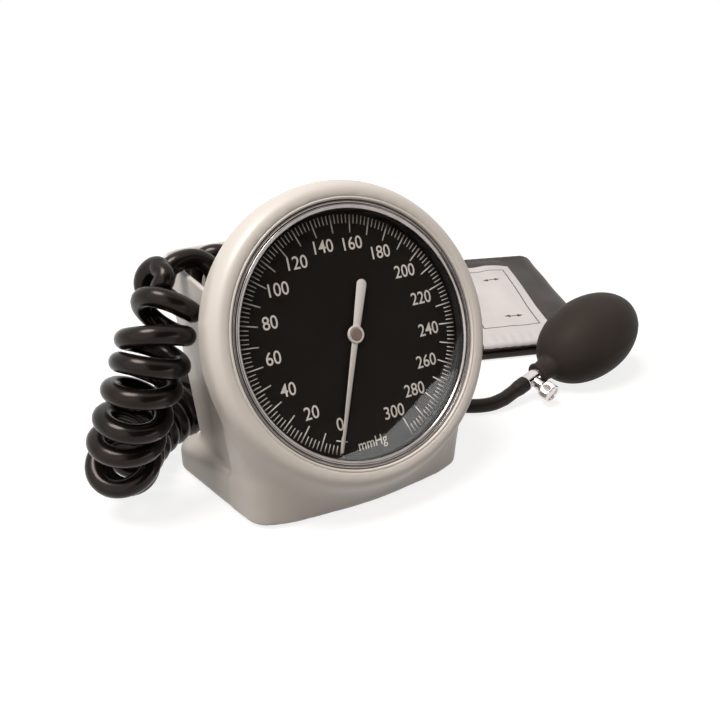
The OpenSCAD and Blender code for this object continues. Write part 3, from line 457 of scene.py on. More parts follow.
# gauge face: ticks, numbers, pointer, ring and lens
face = {
    "zero": 20.6, "perTen": 10.622, "top": 300, "outer": 59.3, "longIn": 50.3, "shortIn": 54.9,
    "longWide": 0.62, "shortWide": 0.46, "printHigh": 0.05,
    "barAt": 52.6, "barWide": 6.2, "barHalf": 0.35,  # the cross bar at 0
    "numbersAt": (43.9, 44.9), "numbersShift": (-0.4, 0.5), "numbersTurn": 2.5, "numberHigh": 6.3,
    "hundredWide": 10.4, "bolder": 0.006, "unitAt": (-2.0, -54.6), "unitWide": 16.3, "unitHigh": 0.82,
}


def faceDirection(a):
    # out along the dial, a degrees from straight down towards the left
    c, s = around(a)
    return -s, -c


def printBar(shape, direction, inner, outer, half):
    # a printed bar that lies along a direction from the middle, between two radii
    x, y = direction
    corners = []
    for n in (0, face["printHigh"]):
        corners += [dialPoint(r * x - s * y, r * y + s * x, n)
                    for r, s in ((inner, -half), (outer, -half), (outer, half), (inner, half))]
    shape.add(corners, [(3, 2, 1, 0), (4, 5, 6, 7), (0, 1, 5, 4), (1, 2, 6, 5), (2, 3, 7, 6),
                        (3, 0, 4, 7)])


def addTicks():
    shape = Shape()
    for i in range(face["top"] // 2 + 1):
        size = "short" if i % 5 else "long"
        printBar(shape, faceDirection(face["zero"] + face["perTen"] * i / 5),
                 face[size + "In"], face["outer"], face[size + "Wide"] / 2)
    printBar(shape, faceDirection(face["zero"]), face["barAt"] - face["barHalf"],
             face["barAt"] + face["barHalf"], face["barWide"] / 2)
    addPiece("dialTicks", shape.points, shape.faces, "stand", finishes["print"])


def lettering(text, heavier=0.0):
    # a word's points, across and up, its faces, and how wide and high it is
    data = bpy.data.curves.new("word", "FONT")
    data.body, data.offset, data.resolution_u = text, heavier, 6
    word = putIn("word", data)
    bpy.context.view_layer.update()
    mesh = bpy.data.meshes.new_from_object(word.evaluated_get(bpy.context.evaluated_depsgraph_get()))
    points = np.array([v.co[:2] for v in mesh.vertices])
    faces = [tuple(p.vertices) for p in mesh.polygons]
    bpy.data.objects.remove(word)
    bpy.data.curves.remove(data)
    bpy.data.meshes.remove(mesh)
    return points, faces, points.max(0) - points.min(0)


def printWord(shape, text, centre, scale):
    points, faces, _ = lettering(text, face["bolder"])
    middle = (points.max(0) + points.min(0)) / 2
    placed = [dialPoint(centre[0] + (p[0] - middle[0]) * scale[0],
                        centre[1] + (p[1] - middle[1]) * scale[1], face["printHigh"]) for p in points]
    shape.add(placed, faces)


def addNumbers():
    shape = Shape()
    wide, high = lettering("100")[2]
    scale = (face["hundredWide"] / wide, face["numberHigh"] / high)
    for value in range(0, face["top"] + 1, 20):
        way = faceDirection(face["zero"] + face["numbersTurn"] + face["perTen"] * value / 10)
        at = [r * c + s for r, c, s in zip(face["numbersAt"], way, face["numbersShift"])]
        printWord(shape, str(value), at, scale)
    wide = lettering("mmHg")[2][0]
    printWord(shape, "mmHg", face["unitAt"], (face["unitWide"] / wide, scale[1] * face["unitHigh"]))
    addPiece("dialNumbers", shape.points, shape.faces, "stand", finishes["print"])


pointer = {
    "low": 1.5, "thick": 0.55, "bevel": 0.12, "tip": 58, "tail": 27.7, "hub": 4.5, "hubBore": 0.9,
    "tailWide": 5.3, "neckWide": 3.8, "stemWide": 3.2, "tipWide": 1.3, "cap": 3.1, "capRise": 0.55,
}


def addPointer():
    x, y = faceDirection(face["zero"])
    half, low, thick, bevel = pointer["tailWide"] / 2, pointer["low"], pointer["thick"], pointer["bevel"]
    end = pointer["tail"] - half
    edge = [(pointer["tip"], pointer["tipWide"] / 2), (2, pointer["stemWide"] / 2),
            (-2, pointer["neckWide"] / 2), (-end, half)]
    outline = edge + [(-end - half * math.sin(math.pi * i / 16), half * math.cos(math.pi * i / 16))
                      for i in range(1, 16)]
    outline += [(r, -s) for r, s in reversed(edge)] + [(pointer["tip"] + 0.5, 0)]
    points = []
    for inset, n in ((0, 0), (0, thick - bevel), (bevel, thick)):
        for r, s in outline:
            s -= math.copysign(min(inset, abs(s)), s)
            r -= math.copysign(inset, r) if abs(r) > 20 else 0
            points.append(dialPoint(r * x - s * y, r * y + s * x, low + n))
    shape = Shape()
    count = len(outline)
    shape.add(points, gridFaces(3, count, across=True)
              + [tuple(reversed(range(count))), tuple(range(2 * count, 3 * count))])
    hub, bore, cap = pointer["hub"], pointer["hubBore"], pointer["cap"]
    profile = [(bore, low - 0.5), (hub - 0.6, low - 0.5), (hub - 0.1, low - 0.2), (hub, low + 0.5),
               (hub - 0.15, low + 0.95), (hub - 0.5, low + 1.1), (cap + 0.35, low + 1.0),
               (cap + 0.1, low + 0.75), (bore, low + 0.75)]
    shape.add(*turned(profile, dialPoint, 64))
    addPiece("pointerNeedle", shape.points, shape.faces, "pointer", finishes["pointer"],
             ("pointer",), crease=50)
    low += 0.7
    profile = [(0.01, low), (cap, low), (cap, low + 0.25)]
    profile += [(cap * c ** 0.7, low + 0.25 + pointer["capRise"] * s)
                for c, s in map(around, range(10, 90, 10))]
    profile += [(0.01, low + 0.8)]
    points, faces = turned(profile, dialPoint, 64, capped=True)
    addPiece("pointerCapDome", points, faces, "pointer", finishes["cap"], ("pointer_cap",),
             crease=60)


# the ring's bead and its cone's edge are arcs: middle, height and radius
ring = {
    "outer": 65, "inner": 61.2, "skirt": 63.7, "low": -4.4, "seat": 5.5,
    "bead": (64.35, 6.25, 0.65), "edge": (62.85, 6.55, 0.55),
}


def addRing():
    # a rolled outer bead, a groove, and a cone that falls to the lens
    profile = [(ring["skirt"], ring["low"]), (ring["outer"], ring["low"])]
    profile += arcPoints(*ring["bead"], 0, 150, 8) + [(63.74, 6.05), (63.56, 5.98), (63.40, 6.15)]
    profile += arcPoints(*ring["edge"], 10, 115, 6)
    profile += [(61.75, 6.55), (61.35, 6.2), (ring["inner"], 5.9), (ring["inner"], ring["seat"]),
                (ring["skirt"], ring["seat"])]
    points, faces = turned(profile, dialPoint, 256)
    addPiece("gaugeRing", points, faces, "stand", finishes["ring"], ("bezel_ring",), crease=38)


def addLens():
    # a shallow dome of even thickness
    radius, seat, thick, rise = (gauge[k] for k in ("dialRadius", "lensSeat", "lensThick", "lensRise"))
    steps = 20
    lower = [(radius * i / steps + 0.001, seat + rise * (1 - (i / steps) ** 2)) for i in range(steps + 1)]
    upper = [(r, n + thick) for r, n in reversed(lower)]
    points, faces = turned(lower + upper, dialPoint, 160, capped=True)
    addPiece("gaugeLens", points, faces, "stand", finishes["glass"], ("lens",), crease=50)


addTicks()
addNumbers()
addPointer()
addRing()
addLens()
print("gauge face finished")


# front housing: one moulding, found as the zero level of a field of soft joins
housing = {
    "front": 8, "crest": 68.5, "outer": 75.9, "back": -9.5, "bore": 66.2, "boreFloor": -6.6,
    "foot": 1.2, "shellBack": 10.6, "halfAtBack": 62.84, "wall": 2.8, "ledgeRear": 16,
    "ledgeSlope": 0.1159, "ledgeUpright": 0.9934, "rear": 71, "bow": 163, "bowAt": 144,
    "cornerAt": (49.7, 0.355), "corner": 11, "rearAt": (61, 60), "bowEnd": -70.9, "sideWay": -10.73,
    "bodyRadius": 71.8, "step": 1.5,
    # how far the crest falls outwards and inwards, and over what width
    "fallOut": (5.5, 8), "fallIn": (0.8, 3.2),
    # the foot is drawn in at the middle of its front, and fuller at its corners
    "drawnIn": 2, "drawnFrom": (25, 20), "fuller": 2, "fullerFrom": 22,
    # how softly the parts join and the edges are rounded
    "rimEdge": 5, "rimBack": 2.5, "rimJoin": 7.5, "bodySide": 1.0, "bodyFace": 2.0, "bodyRear": 2.5,
    "ledgeEdge": 6.5, "plinthJoin": 5, "footEdge": 2.0, "cupJoin": 2.0, "cutEdge": 1.0,
    "spigotEdge": 0.8,
}


def softMax(a, b, k):
    h = np.maximum(k - np.abs(a - b), 0) / k
    return np.maximum(a, b) + h * h * k / 4


def softMin(a, b, k):
    return -softMax(-a, -b, k)


def planReach(way, whole):
    # how far the foot's outline reaches in a direction, in degrees from the right-hand side
    m = around(way)
    if way <= housing["bowEnd"]:
        return housing["bowAt"] * m[1] + housing["bow"]
    if way <= housing["sideWay"]:
        at = housing["cornerAt"]
    elif whole:
        at = housing["rearAt"]
    else:
        return housing["halfAtBack"] * m[0] + housing["shellBack"] * m[1]
    return at[0] * m[0] + at[1] * m[1] + housing["corner"]


def discReach(m):
    # how far the disc behind the rim reaches in a direction
    out = -m[1] * tiltCos + m[2] * tiltSin
    up = m[1] * tiltSin + m[2] * tiltCos
    return (gauge["height"] * m[2] + housing["bodyRadius"] * math.hypot(m[0], up)
            + max(0, housing["back"] * out))


def sharedPlanes():
    # the planes that lie on both the disc of the rim and the outline of the foot
    found = []
    for way in list(np.arange(-90, housing["sideWay"], 1.5)) + list(np.arange(housing["sideWay"], 55, 3)):
        a = math.radians(way)

        def gap(b):
            m = (math.cos(a) * math.cos(b), math.sin(a) * math.cos(b), math.sin(b))
            return discReach(m) - planReach(way, False) * math.cos(b) - housing["foot"] * m[2], m

        low, high = math.radians(-75), math.radians(60)
        if gap(low)[0] > 0 or gap(high)[0] < 0:
            continue
        for _ in range(50):
            middle = (low + high) / 2
            low, high = (middle, high) if gap(middle)[0] < 0 else (low, middle)
        m = gap(low)[1]
        found.append((*m, discReach(m)))
    return found


planes = sharedPlanes()
outline = [(*around(w), planReach(w, True)) for w in np.arange(-90, 90.1, 2)]
print("planes of the housing:", len(planes))


def highestOf(planes, side, *others):
    # how far places are outside a set of planes, each a direction and how far off it lies
    found = np.full(len(side), -1e3)
    for *m, reach in planes:
        np.maximum(found, sum((k * v for k, v in zip(m[1:], others)), m[0] * side) - reach, out=found)
    return found


def housingField(p):
    x, y, z = p[:, 0], p[:, 1], p[:, 2]
    side = np.abs(x)
    up = y * tiltSin + (z - gauge["height"]) * tiltCos
    out = -y * tiltCos + (z - gauge["height"]) * tiltSin
    r = np.hypot(x, up)
    # the rim's band: a crest, falling further towards its outer edge than towards the ring
    (fall, over), (dip, within) = housing["fallOut"], housing["fallIn"]
    crown = housing["front"] - fall * np.clip((r - housing["crest"]) / over, 0, 1.1) ** 2.5
    crown = crown - dip * np.clip((housing["crest"] - r) / within, 0, 1.2) ** 2
    rim = softMax(softMax(out - crown, r - housing["outer"], housing["rimEdge"]),
                  housing["back"] - out, housing["rimBack"])
    # the body, from the rim down to the foot
    body = highestOf(planes, side, y, z)
    body = softMax(body, np.where(up > 0, r, side) - housing["bodyRadius"], housing["bodySide"])
    body = softMax(body, out, housing["bodyFace"])
    behind = softMin(y - housing["shellBack"], housing["back"] - out, housing["bodyFace"])
    body = softMax(body, behind, housing["bodyRear"])
    ledge = z - housing["ledgeRear"] - housing["ledgeSlope"] * (housing["rear"] - y)
    ledge = ledge * housing["ledgeUpright"]
    front = np.clip((housing["drawnFrom"][0] - y) / housing["drawnFrom"][1], 0, 1)
    aside = np.clip((side - housing["fullerFrom"]) / housing["fullerFrom"], 0, 1)
    plan = highestOf(outline, side, y)
    plan = (plan + housing["drawnIn"] * front * front * (3 - 2 * front) * (1 - aside)
            - housing["fuller"] * aside)
    plinth = softMax(plan, ledge, housing["ledgeEdge"])
    whole = softMin(softMin(rim, body, housing["rimJoin"]), plinth, housing["plinthJoin"])
    closed = softMax(whole, housing["foot"] - z, housing["footEdge"])
    solid = softMax(closed, -(whole + housing["wall"]), housing["cutEdge"])
    # the cup behind the dial, its bore, the opening for the gauge and the spigot's hole
    cup = np.maximum(r - gauge["cupRadius"], np.maximum(gauge["cupEnd"] - out, out + 8))
    solid = softMin(solid, cup, housing["cupJoin"])
    for radius, floor in ((gauge["cupBore"], gauge["cupFloor"]), (housing["bore"], housing["boreFloor"])):
        solid = softMax(solid, -np.maximum(r - radius, floor - out), housing["cutEdge"])
    spigot = np.hypot(x - gauge["studX"], up) - gauge["spigotRoom"]
    return softMax(solid, -spigot, housing["spigotEdge"])


def surfaceOf(field, low, high, step):
    # surface nets: a point in each cell that the surface crosses, and a face round each crossed edge
    axes = [np.arange(a, b + step, step) for a, b in zip(low, high)]
    shape = tuple(len(a) for a in axes)
    grid = np.stack(np.meshgrid(*axes, indexing="ij"), -1).reshape(-1, 3)
    value = np.concatenate([field(part) for part in np.array_split(grid, 12)]).reshape(shape)
    inside = value < 0
    cells = tuple(n - 1 for n in shape)
    total, count = np.zeros((*cells, 3)), np.zeros(cells)
    corner = [slice(0, -1), slice(1, None)]
    for axis in range(3):
        others = [k for k in range(3) if k != axis]
        for sides in np.ndindex(2, 2):
            # one of the cell's four edges that run along this axis, from a to b
            a, b, place = [None] * 3, [None] * 3, [0] * 3
            a[axis], b[axis] = corner
            for k, m in zip(others, sides):
                a[k] = b[k] = corner[m]
                place[k] = m
            va, vb = value[tuple(a)], value[tuple(b)]
            crossed = (va < 0) != (vb < 0)
            place[axis] = va / np.where(crossed, va - vb, 1)
            for k in range(3):
                total[..., k] += np.where(crossed, place[k], 0)
            count += crossed
    index = np.full(cells, -1)
    used = count > 0
    index[used] = np.arange(used.sum())
    where = np.argwhere(used)
    points = where + total[used] / count[used][:, None]
    points = points * step + np.array([a[0] for a in axes])
    faces = []
    for axis in range(3):
        others = [k for k in range(3) if k != axis]
        a, b = [slice(1, -1)] * 3, [slice(1, -1)] * 3
        a[axis], b[axis] = corner
        cut = inside[tuple(a)] != inside[tuple(b)]
        for spot in np.argwhere(cut) + 1:
            spot[axis] -= 1
            loop = []
            for back in ((0, 0), (1, 0), (1, 1), (0, 1)):
                cell = spot.copy()
                cell[others] -= back
                loop.append(int(index[tuple(cell)]))
            faces.append(tuple(loop))
    # then the points are drawn onto the surface itself
    for _ in range(4):
        near = field(points)
        slope = np.stack([(field(points + d) - field(points - d)) / 0.2
                          for d in 0.1 * np.eye(3)], -1)
        size = (slope ** 2).sum(1)
        points = points - slope * (np.clip(near, -0.5, 0.5) / np.maximum(size, 0.3))[:, None]
    return points, faces


points, faces = surfaceOf(housingField, (-81, -41, -1.5), (81, 75, 164), housing["step"])
addPiece("frontHousing", points, faces, "stand", finishes["housing"], ("front_housing",))
print("front housing:", len(points), "points")

# the thin bead round the ring, with the ledge that the ring stands on
lip = {
    "inner": 65.4, "ledge": 63.9, "low": -5.6, "seat": -4.45, "bead": 0.75, "beadHigh": 7.15,
    "outer": (67.2, 6.6),
}
profile = [(lip["ledge"], lip["low"]), (lip["ledge"], lip["seat"]), (lip["inner"], lip["seat"])]
profile += arcPoints(lip["inner"] + lip["bead"], lip["beadHigh"], lip["bead"], 180, 15, 9)
profile += [lip["outer"], (lip["outer"][0], lip["low"])]
points, faces = turned(profile, dialPoint, 256)
addPiece("rimBead", points, faces, "stand", finishes["housing"], crease=40)
print("rim bead made")


# rear basket: thin walls with a rolled rim and a soft foot on the ledge
basket = {
    "lowHalf": 63, "lowBack": 67, "lowAt": 12, "highHalf": 66.5, "highBack": 93, "highAt": 116,
    "corner": 13, "wall": 2.8, "foot": 4.5, "sunk": 0.4, "gap": 0.3, "lean": 0.4348, "rollAt": 114.6,
    "roll": 1.4,
}


def ledgeAt(y):
    return housing["ledgeRear"] + housing["ledgeSlope"] * (housing["rear"] - y)


def basketPath():
    # each station of the U: the stretch it is on, how far along that, and on which hand
    right = [(kind, i / n, 1) for kind, n in (("side", 12), ("turn", 10), ("back", 8)) for i in range(n)]
    return right + [("back", 1, 1)] + [(kind, t, -1) for kind, t, _ in reversed(right)]


def basketPlace(station, inward, z):
    kind, t, hand = station
    s = (z - basket["lowAt"]) / (basket["highAt"] - basket["lowAt"])
    half = mix(basket["lowHalf"], basket["highHalf"], s)
    back = mix(basket["lowBack"], basket["highBack"], s)
    turn, inner = basket["corner"], basket["corner"] - inward
    front = max(housing["shellBack"] + basket["gap"],
                housing["shellBack"] + 0.1 + basket["lean"] * (z - gauge["height"]))
    if kind == "side":
        return hand * (half - inward), mix(front, back - turn, t)
    if kind == "turn":
        c, s = around(90 * t)
        return hand * (half - turn + inner * c), back - turn + inner * s
    return hand * mix(half - turn, 0, t), back - inward


def footRoom(x, y):
    # how far inside the foot's outline a place is
    return -max(a * abs(x) + b * y - d for a, b, d in outline)


def basketWalls():
    stations = basketPath()
    foot, wall, rim, roll = (basket[k] for k in ("foot", "wall", "rollAt", "roll"))

    def footCurve(a):
        c, s = around(a)
        return foot * (1 - s), foot * (1 - c)

    points = []
    for station in stations:
        column = []
        base = ledgeAt(basketPlace(station, 0, 20)[1])
        room = min(foot, max(0.0, footRoom(*basketPlace(station, 0, base)) - 1.0))
        for a in range(0, 91, 15):
            out, rise = footCurve(a)
            column.append((-(out * room / foot), base - basket["sunk"] + rise))
        column += [(0, mix(base + foot, rim, t)) for t in (0.2, 0.4, 0.6, 0.8)]
        column += [(roll - roll * c, rim + roll * s) for c, s in map(around, range(0, 181, 20))]
        floorAt = base + wall
        column += [(wall, mix(floorAt + foot, rim, t)) for t in (0.8, 0.6, 0.4, 0.2)]
        for a in range(90, -1, -15):
            out, rise = footCurve(a)
            column.append((wall + out, floorAt + rise))
        column.append((wall + foot, base - basket["sunk"]))
        points += [(*basketPlace(station, inward, z), z) for inward, z in column]
    count = len(column)
    shape = Shape()
    shape.add(points, gridFaces(len(stations), count, across=True))
    last = (len(stations) - 1) * count
    shape.faces += [tuple(reversed(range(count))), tuple(last + k for k in range(count))]
    # the floor, between the soft foot of the inner wall all round
    top, low = points[count - 2::count], points[count - 1::count]
    n = len(top)
    shape.add(top + low, [tuple(range(n)), tuple(reversed(range(n, 2 * n))), (0, n - 1, 2 * n - 1, n)])
    return shape


shape = basketWalls()
addPiece("rearBasket", shape.points, shape.faces, "stand", finishes["housing"],
         ("rear_basket",), crease=55)
print("basket walls raised")


# bulb: a dipped rubber egg with a rolled neck, and faint mould lines along it
def eggLine(r, half, first, last, steps):
    angles = [mix(first, last, i / steps) for i in range(steps + 1)]
    return [(r * math.sin(a), half * math.cos(a)) for a in angles]


def bulbProfile():
    # its outside, neck and inside, and how many points are on the outside
    r, half = bulb["width"] / 2, bulb["halfLength"]
    neck, end, wall, bore = (bulb[k] for k in ("neck", "neckEnd", "wall", "bore"))
    line = eggLine(r, half, math.asin(bulb["mouth"] / r), math.pi - math.asin((neck + 1.6) / r), 56)
    line += [(neck + 1.0, end + 8.9), (neck + 0.55, end + 7.4), (neck + 0.3, end + 5.4),
             (neck + 0.25, end + 3.4), (neck + 0.55, end + 2.6), (neck + 0.95, end + 1.9),
             (neck + 1.0, end + 1.1), (neck + 0.7, end + 0.35), (neck + 0.1, end), (bore, end)]
    inner = r - wall
    return line + eggLine(inner, half - wall, math.pi - math.asin(bore / inner),
                          math.asin(bulb["mouth"] / inner), 24), len(line) - 1


def addBulb():
    profile, outside = bulbProfile()
    steps = 144
    points = []
    for k in range(steps):
        a = 2 * math.pi * k / steps
        seam = abs(math.sin(a)) * bulb["width"] / 2
        for i, (r, x) in enumerate(profile):
            proud = 0
            if i < outside:
                # the mould line, and a surface that isn't quite even
                proud = bulb["seam"] * bell(seam, bulb["seamWide"])
                spot = Vector((x * 0.045, math.cos(a) * r * 0.05, math.sin(a) * r * 0.05))
                proud += bulb["uneven"] * noise.noise(spot) * min(1, max(0, (r - 8) / 8))
            points.append(bulbPoint(x, (r + proud) * math.cos(a), (r + proud) * math.sin(a)))
    addPiece("squeezeBulb", points, gridFaces(steps, len(profile), across=True, along=True), "stand",
             finishes["bulb"], ("bulb",), crease=50)


screw = {
    "from": (149.32, 29.27, 13.09), "way": (0.1719, -0.9532, -0.2488), "ridges": 36, "radius": 5.85,
    "low": 10.4, "grip": 7.8, "depth": 0.32, "recess": 4.35, "recessDeep": 1.0, "stem": 3.4,
    "stemLow": 9.4, "spindle": 2.0, "spindleLow": 3.05,
}


def addScrew():
    way = np.array(screw["way"])
    first = unit(bulbWay - np.dot(bulbWay, way) * way)
    second = np.cross(way, first)
    low, top, r = screw["low"], screw["low"] + screw["grip"], screw["radius"]
    spindle, stem, recess = screw["spindle"], screw["stem"], screw["recess"]
    end, under, floor = screw["spindleLow"], screw["stemLow"], top - screw["recessDeep"]

    def place(x, y, h):
        return np.array(screw["from"]) + x * first + y * second + h * way

    plain = [(0.01, end), (spindle - 0.3, end), (spindle, end + 0.3), (spindle, under),
             (stem - 0.3, under), (stem, under + 0.3), (stem, low - 0.15), (stem + 0.2, low),
             (r - 0.9, low), (r - 0.35, low + 0.25), (r - 0.08, low + 0.8)]
    ridged = [(r, low + 1.1), (r, low + 2.4), (r, mix(low, top, 0.5)), (r, top - 2.4), (r, top - 1.1)]
    crown = [(r - 0.08, top - 0.8), (r - 0.35, top - 0.25), (r - 0.8, top), (recess + 0.15, top),
             (recess, top - 0.2), (recess - 0.1, floor), (1.4, floor - 0.15), (0.01, floor - 0.15)]
    profile = [(*p, part is ridged) for part in (plain, ridged, crown) for p in part]
    steps = screw["ridges"] * 6
    points = []
    for k in range(steps):
        a = 2 * math.pi * k / steps
        wave = 0.5 - 0.5 * math.cos(a * screw["ridges"])
        for radius, h, cut in profile:
            radius -= cut * screw["depth"] * wave
            points.append(place(radius * math.cos(a), radius * math.sin(a), h))
    n = len(profile)
    faces = gridFaces(steps, n, along=True)
    faces += [tuple(k * n for k in reversed(range(steps))), tuple(k * n + n - 1 for k in range(steps))]
    addPiece("thumbScrew", points, faces, "thumb_screw", finishes["chrome"],
             ("valve_knob",), crease=45)


addBulb()
addScrew()
print("bulb and thumb screw made")


# cuff: a folded fabric sleeve, its upper layer rising to the fold, with a sewn border and a label
cuff.update({
    "edgeRound": 3.4, "border": 6.5, "farLonger": 13,
    # its soft waves, calmer at the near end, along the edges, after the fold and on the inside
    "wave": 2.1, "waveFrom": 120, "waveOver": 60, "calmOver": 14, "foldBlend": 12, "insideWave": 0.6,
    "lowest": 0.12,
    # the sewing: how deep it pinches and puckers the cloth, and its stitches
    "pinch": 0.30, "pinchWide": 1.3, "pucker": 0.28, "puckerWide": 4, "stitch": 2.5, "stitchGap": 3.5,
    "stitchHalf": 0.32, "stitchedTo": 172,
    # the label bridges the groove that the sewing pulls into the cloth
    "labelLeft": 111.7, "labelRight": 169, "labelFar": 122, "labelLean": 0.08, "labelHigh": 0.5,
    "labelLow": 0.08, "bridge": 0.8, "bridgeWide": 2.4,
    "frameIn": 6.5, "frameNear": 22, "frameFar": 8.5, "frameWide": 0.8, "inkThick": 0.05,
    # the arrows' places, and each one's stem and head: how far out and half how wide, at both ends
    "arrowAt": 146.7, "arrowRows": (37.5, 97),
    "arrow": ((((0, 0.5), (4.5, 0.5)), 6), (((2.9, 1.9), (7.3, 0.1)), 4)),
})


def cuffMiddle(v):
    return mix(cuff["nearHigh"], cuff["farHigh"], v)


def foldRadius(v):
    return (cuffMiddle(v) - cuff["low"]) / 2


def foldStart(v):
    # how far along the fold starts; it runs a little further at the far edge
    return cuff["length"] + 2 + cuff["farLonger"] * v - foldRadius(v) - cuff["half"]


def layerLength(v):
    return 2 * foldStart(v) + math.pi * foldRadius(v)


def fabricWave(along, across):
    # soft folds that run across the cuff, stronger towards the turn, and puckers along the sewing
    spot = Vector((along * 0.030, across * 0.016, 0.7))
    bend = noise.noise(spot) * 1.3 + 0.55 * noise.noise(Vector((along * 0.075, across * 0.03, 4.1)))
    strong = 0.35 + 0.65 * ease((along - cuff["waveFrom"]) / cuff["waveOver"])
    edge = min(across, cuff["width"] - across)
    pucker = math.sin(along * 0.9 + 2 * noise.noise(spot))
    pucker = bell(edge - cuff["border"], cuff["puckerWide"]) * pucker
    return cuff["wave"] * bend * strong * ease(edge / cuff["calmOver"]) + cuff["pucker"] * pucker


def roundOff(t):
    return math.sqrt(max(0.0, 1 - (1 - min(1.0, t)) ** 2))


def fabricHalf(along, across, length):
    # half the layer's thickness: rounded at the edges, pinched along the sewn border
    edge = max(0.0, min(across, cuff["width"] - across))
    ends = min(along, length - along)
    seam = max(cuff["pinch"] * bell(v - cuff["border"], cuff["pinchWide"]) for v in (edge, ends))
    return (cuff["half"] * roundOff(edge / cuff["edgeRound"]) * (1 - seam)
            * roundOff(max(0.0, ends) / cuff["edgeRound"]))


def layerPlace(s, v):
    # a place along the folded layer's own line, with the direction that its outside faces
    top, r, end = cuffMiddle(v), foldRadius(v), foldStart(v)
    turn = math.pi * r
    if s < end:
        return s, top, 0.0, 1.0
    if s < end + turn:
        a = math.pi / 2 - (s - end) / r
        return (end + r * math.cos(a), (top + cuff["low"]) / 2 + r * math.sin(a), math.cos(a),
                math.sin(a))
    return end - (s - end - turn), cuff["low"], 0.0, -1.0


def fabricPoint(t, v, side):
    length = layerLength(v)
    s = t * length
    x, z, dx, dz = layerPlace(s, v)
    across = v * cuff["width"]
    flat = ease((length / 2 - s + cuff["foldBlend"]) / (2 * cuff["foldBlend"]))
    wave = fabricWave(s, across) * flat * ease(s / cuff["calmOver"])
    if side < 0:
        wave *= cuff["insideWave"]
    h = side * fabricHalf(s, across, length) + wave
    return cuffPoint(x + h * dx, across, max(cuff["lowest"], z + h * dz))


def addCuff():
    along = [0.0, 0.002, 0.005] + [i / 150 for i in range(1, 150)] + [0.995, 0.998, 1.0]
    across = [0, 0.0015, 0.005, 0.011, 0.018, 0.026]
    across += [mix(0.035, 0.965, i / 46) for i in range(47)] + [1 - v for v in reversed(across)]
    points = []
    for v in across:
        points += [fabricPoint(t, v, 1) for t in along] + [fabricPoint(t, v, -1) for t in reversed(along)]
    count = 2 * len(along)
    faces = gridFaces(len(across), count, across=True)
    for at, order in ((0, 1), ((len(across) - 1) * count, -1)):
        faces += [(at + k, at + k + 1, at + count - 2 - k, at + count - 1 - k)[::order]
                  for k in range(len(along) - 1)]
    return addPiece("cuffFabric", points, faces, "stand", finishes["nylon"],
                    ("cuff_sleeve", "cuff_bladder"))


def upperPoint(x, y, high):
    # a place on the upper layer's outside, high mm over it; below zero y runs down round the near edge
    if y >= cuff["edgeRound"]:
        v = y / cuff["width"]
        wave = fabricWave(x, y) * ease(x / cuff["calmOver"])
        return cuffPoint(x, y, cuffMiddle(v) + fabricHalf(x, y, layerLength(v)) + wave + high)
    c, s = around(min(100, 90 * (1 - y / cuff["edgeRound"])))
    return cuffPoint(x, cuff["edgeRound"] - (cuff["edgeRound"] + high) * s,
                     cuffMiddle(0.02) + (cuff["half"] + high) * c + fabricWave(x, cuff["edgeRound"]))


def layStrip(shape, near, far, steps):
    # a flat strip of ink over the label, between two points at its near end and two at its far end
    points = []
    low, top = cuff["labelHigh"], cuff["labelHigh"] + cuff["inkThick"]
    for i in range(steps + 1):
        left, right = ([mix(a, b, i / steps) for a, b in zip(*ends)] for ends in zip(near, far))
        for side in (left, right):
            side[0] += cuff["labelLean"] * side[1]
        points += [upperPoint(*left, low), upperPoint(*left, top),
                   upperPoint(*right, top), upperPoint(*right, low)]
    shape.add(points, gridFaces(steps + 1, 4, across=True)
              + [(3, 2, 1, 0), tuple(4 * steps + k for k in range(4))])


def addLabel():
    left, right, far = cuff["labelLeft"], cuff["labelRight"], cuff["labelFar"]
    xs = [mix(left, right, i / 48) for i in range(49)]
    ys = [mix(-0.1, cuff["edgeRound"], i / 7) for i in range(7)]
    ys += [mix(cuff["edgeRound"], far, i / 44) for i in range(45)]
    points = [upperPoint(x + cuff["labelLean"] * y, y,
                         high + cuff["bridge"] * bell(y - cuff["border"], cuff["bridgeWide"]))
              for high in (cuff["labelHigh"], cuff["labelLow"]) for y in ys for x in xs]
    rows, columns = len(ys), len(xs)
    n = rows * columns
    skin = gridFaces(rows, columns)
    rim = list(range(columns)) + [i * columns + columns - 1 for i in range(1, rows)]
    rim += [(rows - 1) * columns + k for k in range(columns - 2, -1, -1)]
    rim += [i * columns for i in range(rows - 2, 0, -1)]
    faces = skin + [tuple(n + k for k in reversed(f)) for f in skin]
    faces += [(a, n + a, n + b, b) for a, b in zip(rim, rim[1:] + rim[:1])]
    label = addPiece("cuffLabel", points, faces, "stand", finishes["label"],
                     ("cuff_label",), crease=60)
    ink = Shape()
    x0, x1, w = left + cuff["frameIn"], right - cuff["frameIn"], cuff["frameWide"]
    y0, y1 = cuff["frameNear"], far - cuff["frameFar"]
    for a, b in ((y0, y0 + w), (y1 - w, y1)):
        layStrip(ink, ((x0, a), (x0, b)), ((x1, a), (x1, b)), 44)
    for a, b in ((x0, x0 + w), (x1 - w, x1)):
        layStrip(ink, ((a, y0), (b, y0)), ((a, y1), (b, y1)), 44)
    for y in cuff["arrowRows"]:
        for hand in (-1, 1):
            for ends, steps in cuff["arrow"]:
                near, far = ([(cuff["arrowAt"] + hand * out, y + way * half) for way in (-1, 1)]
                             for out, half in ends)
                layStrip(ink, near, far, steps)
    return label, addPiece("labelPrint", ink.points, ink.faces, "stand", finishes["ink"])


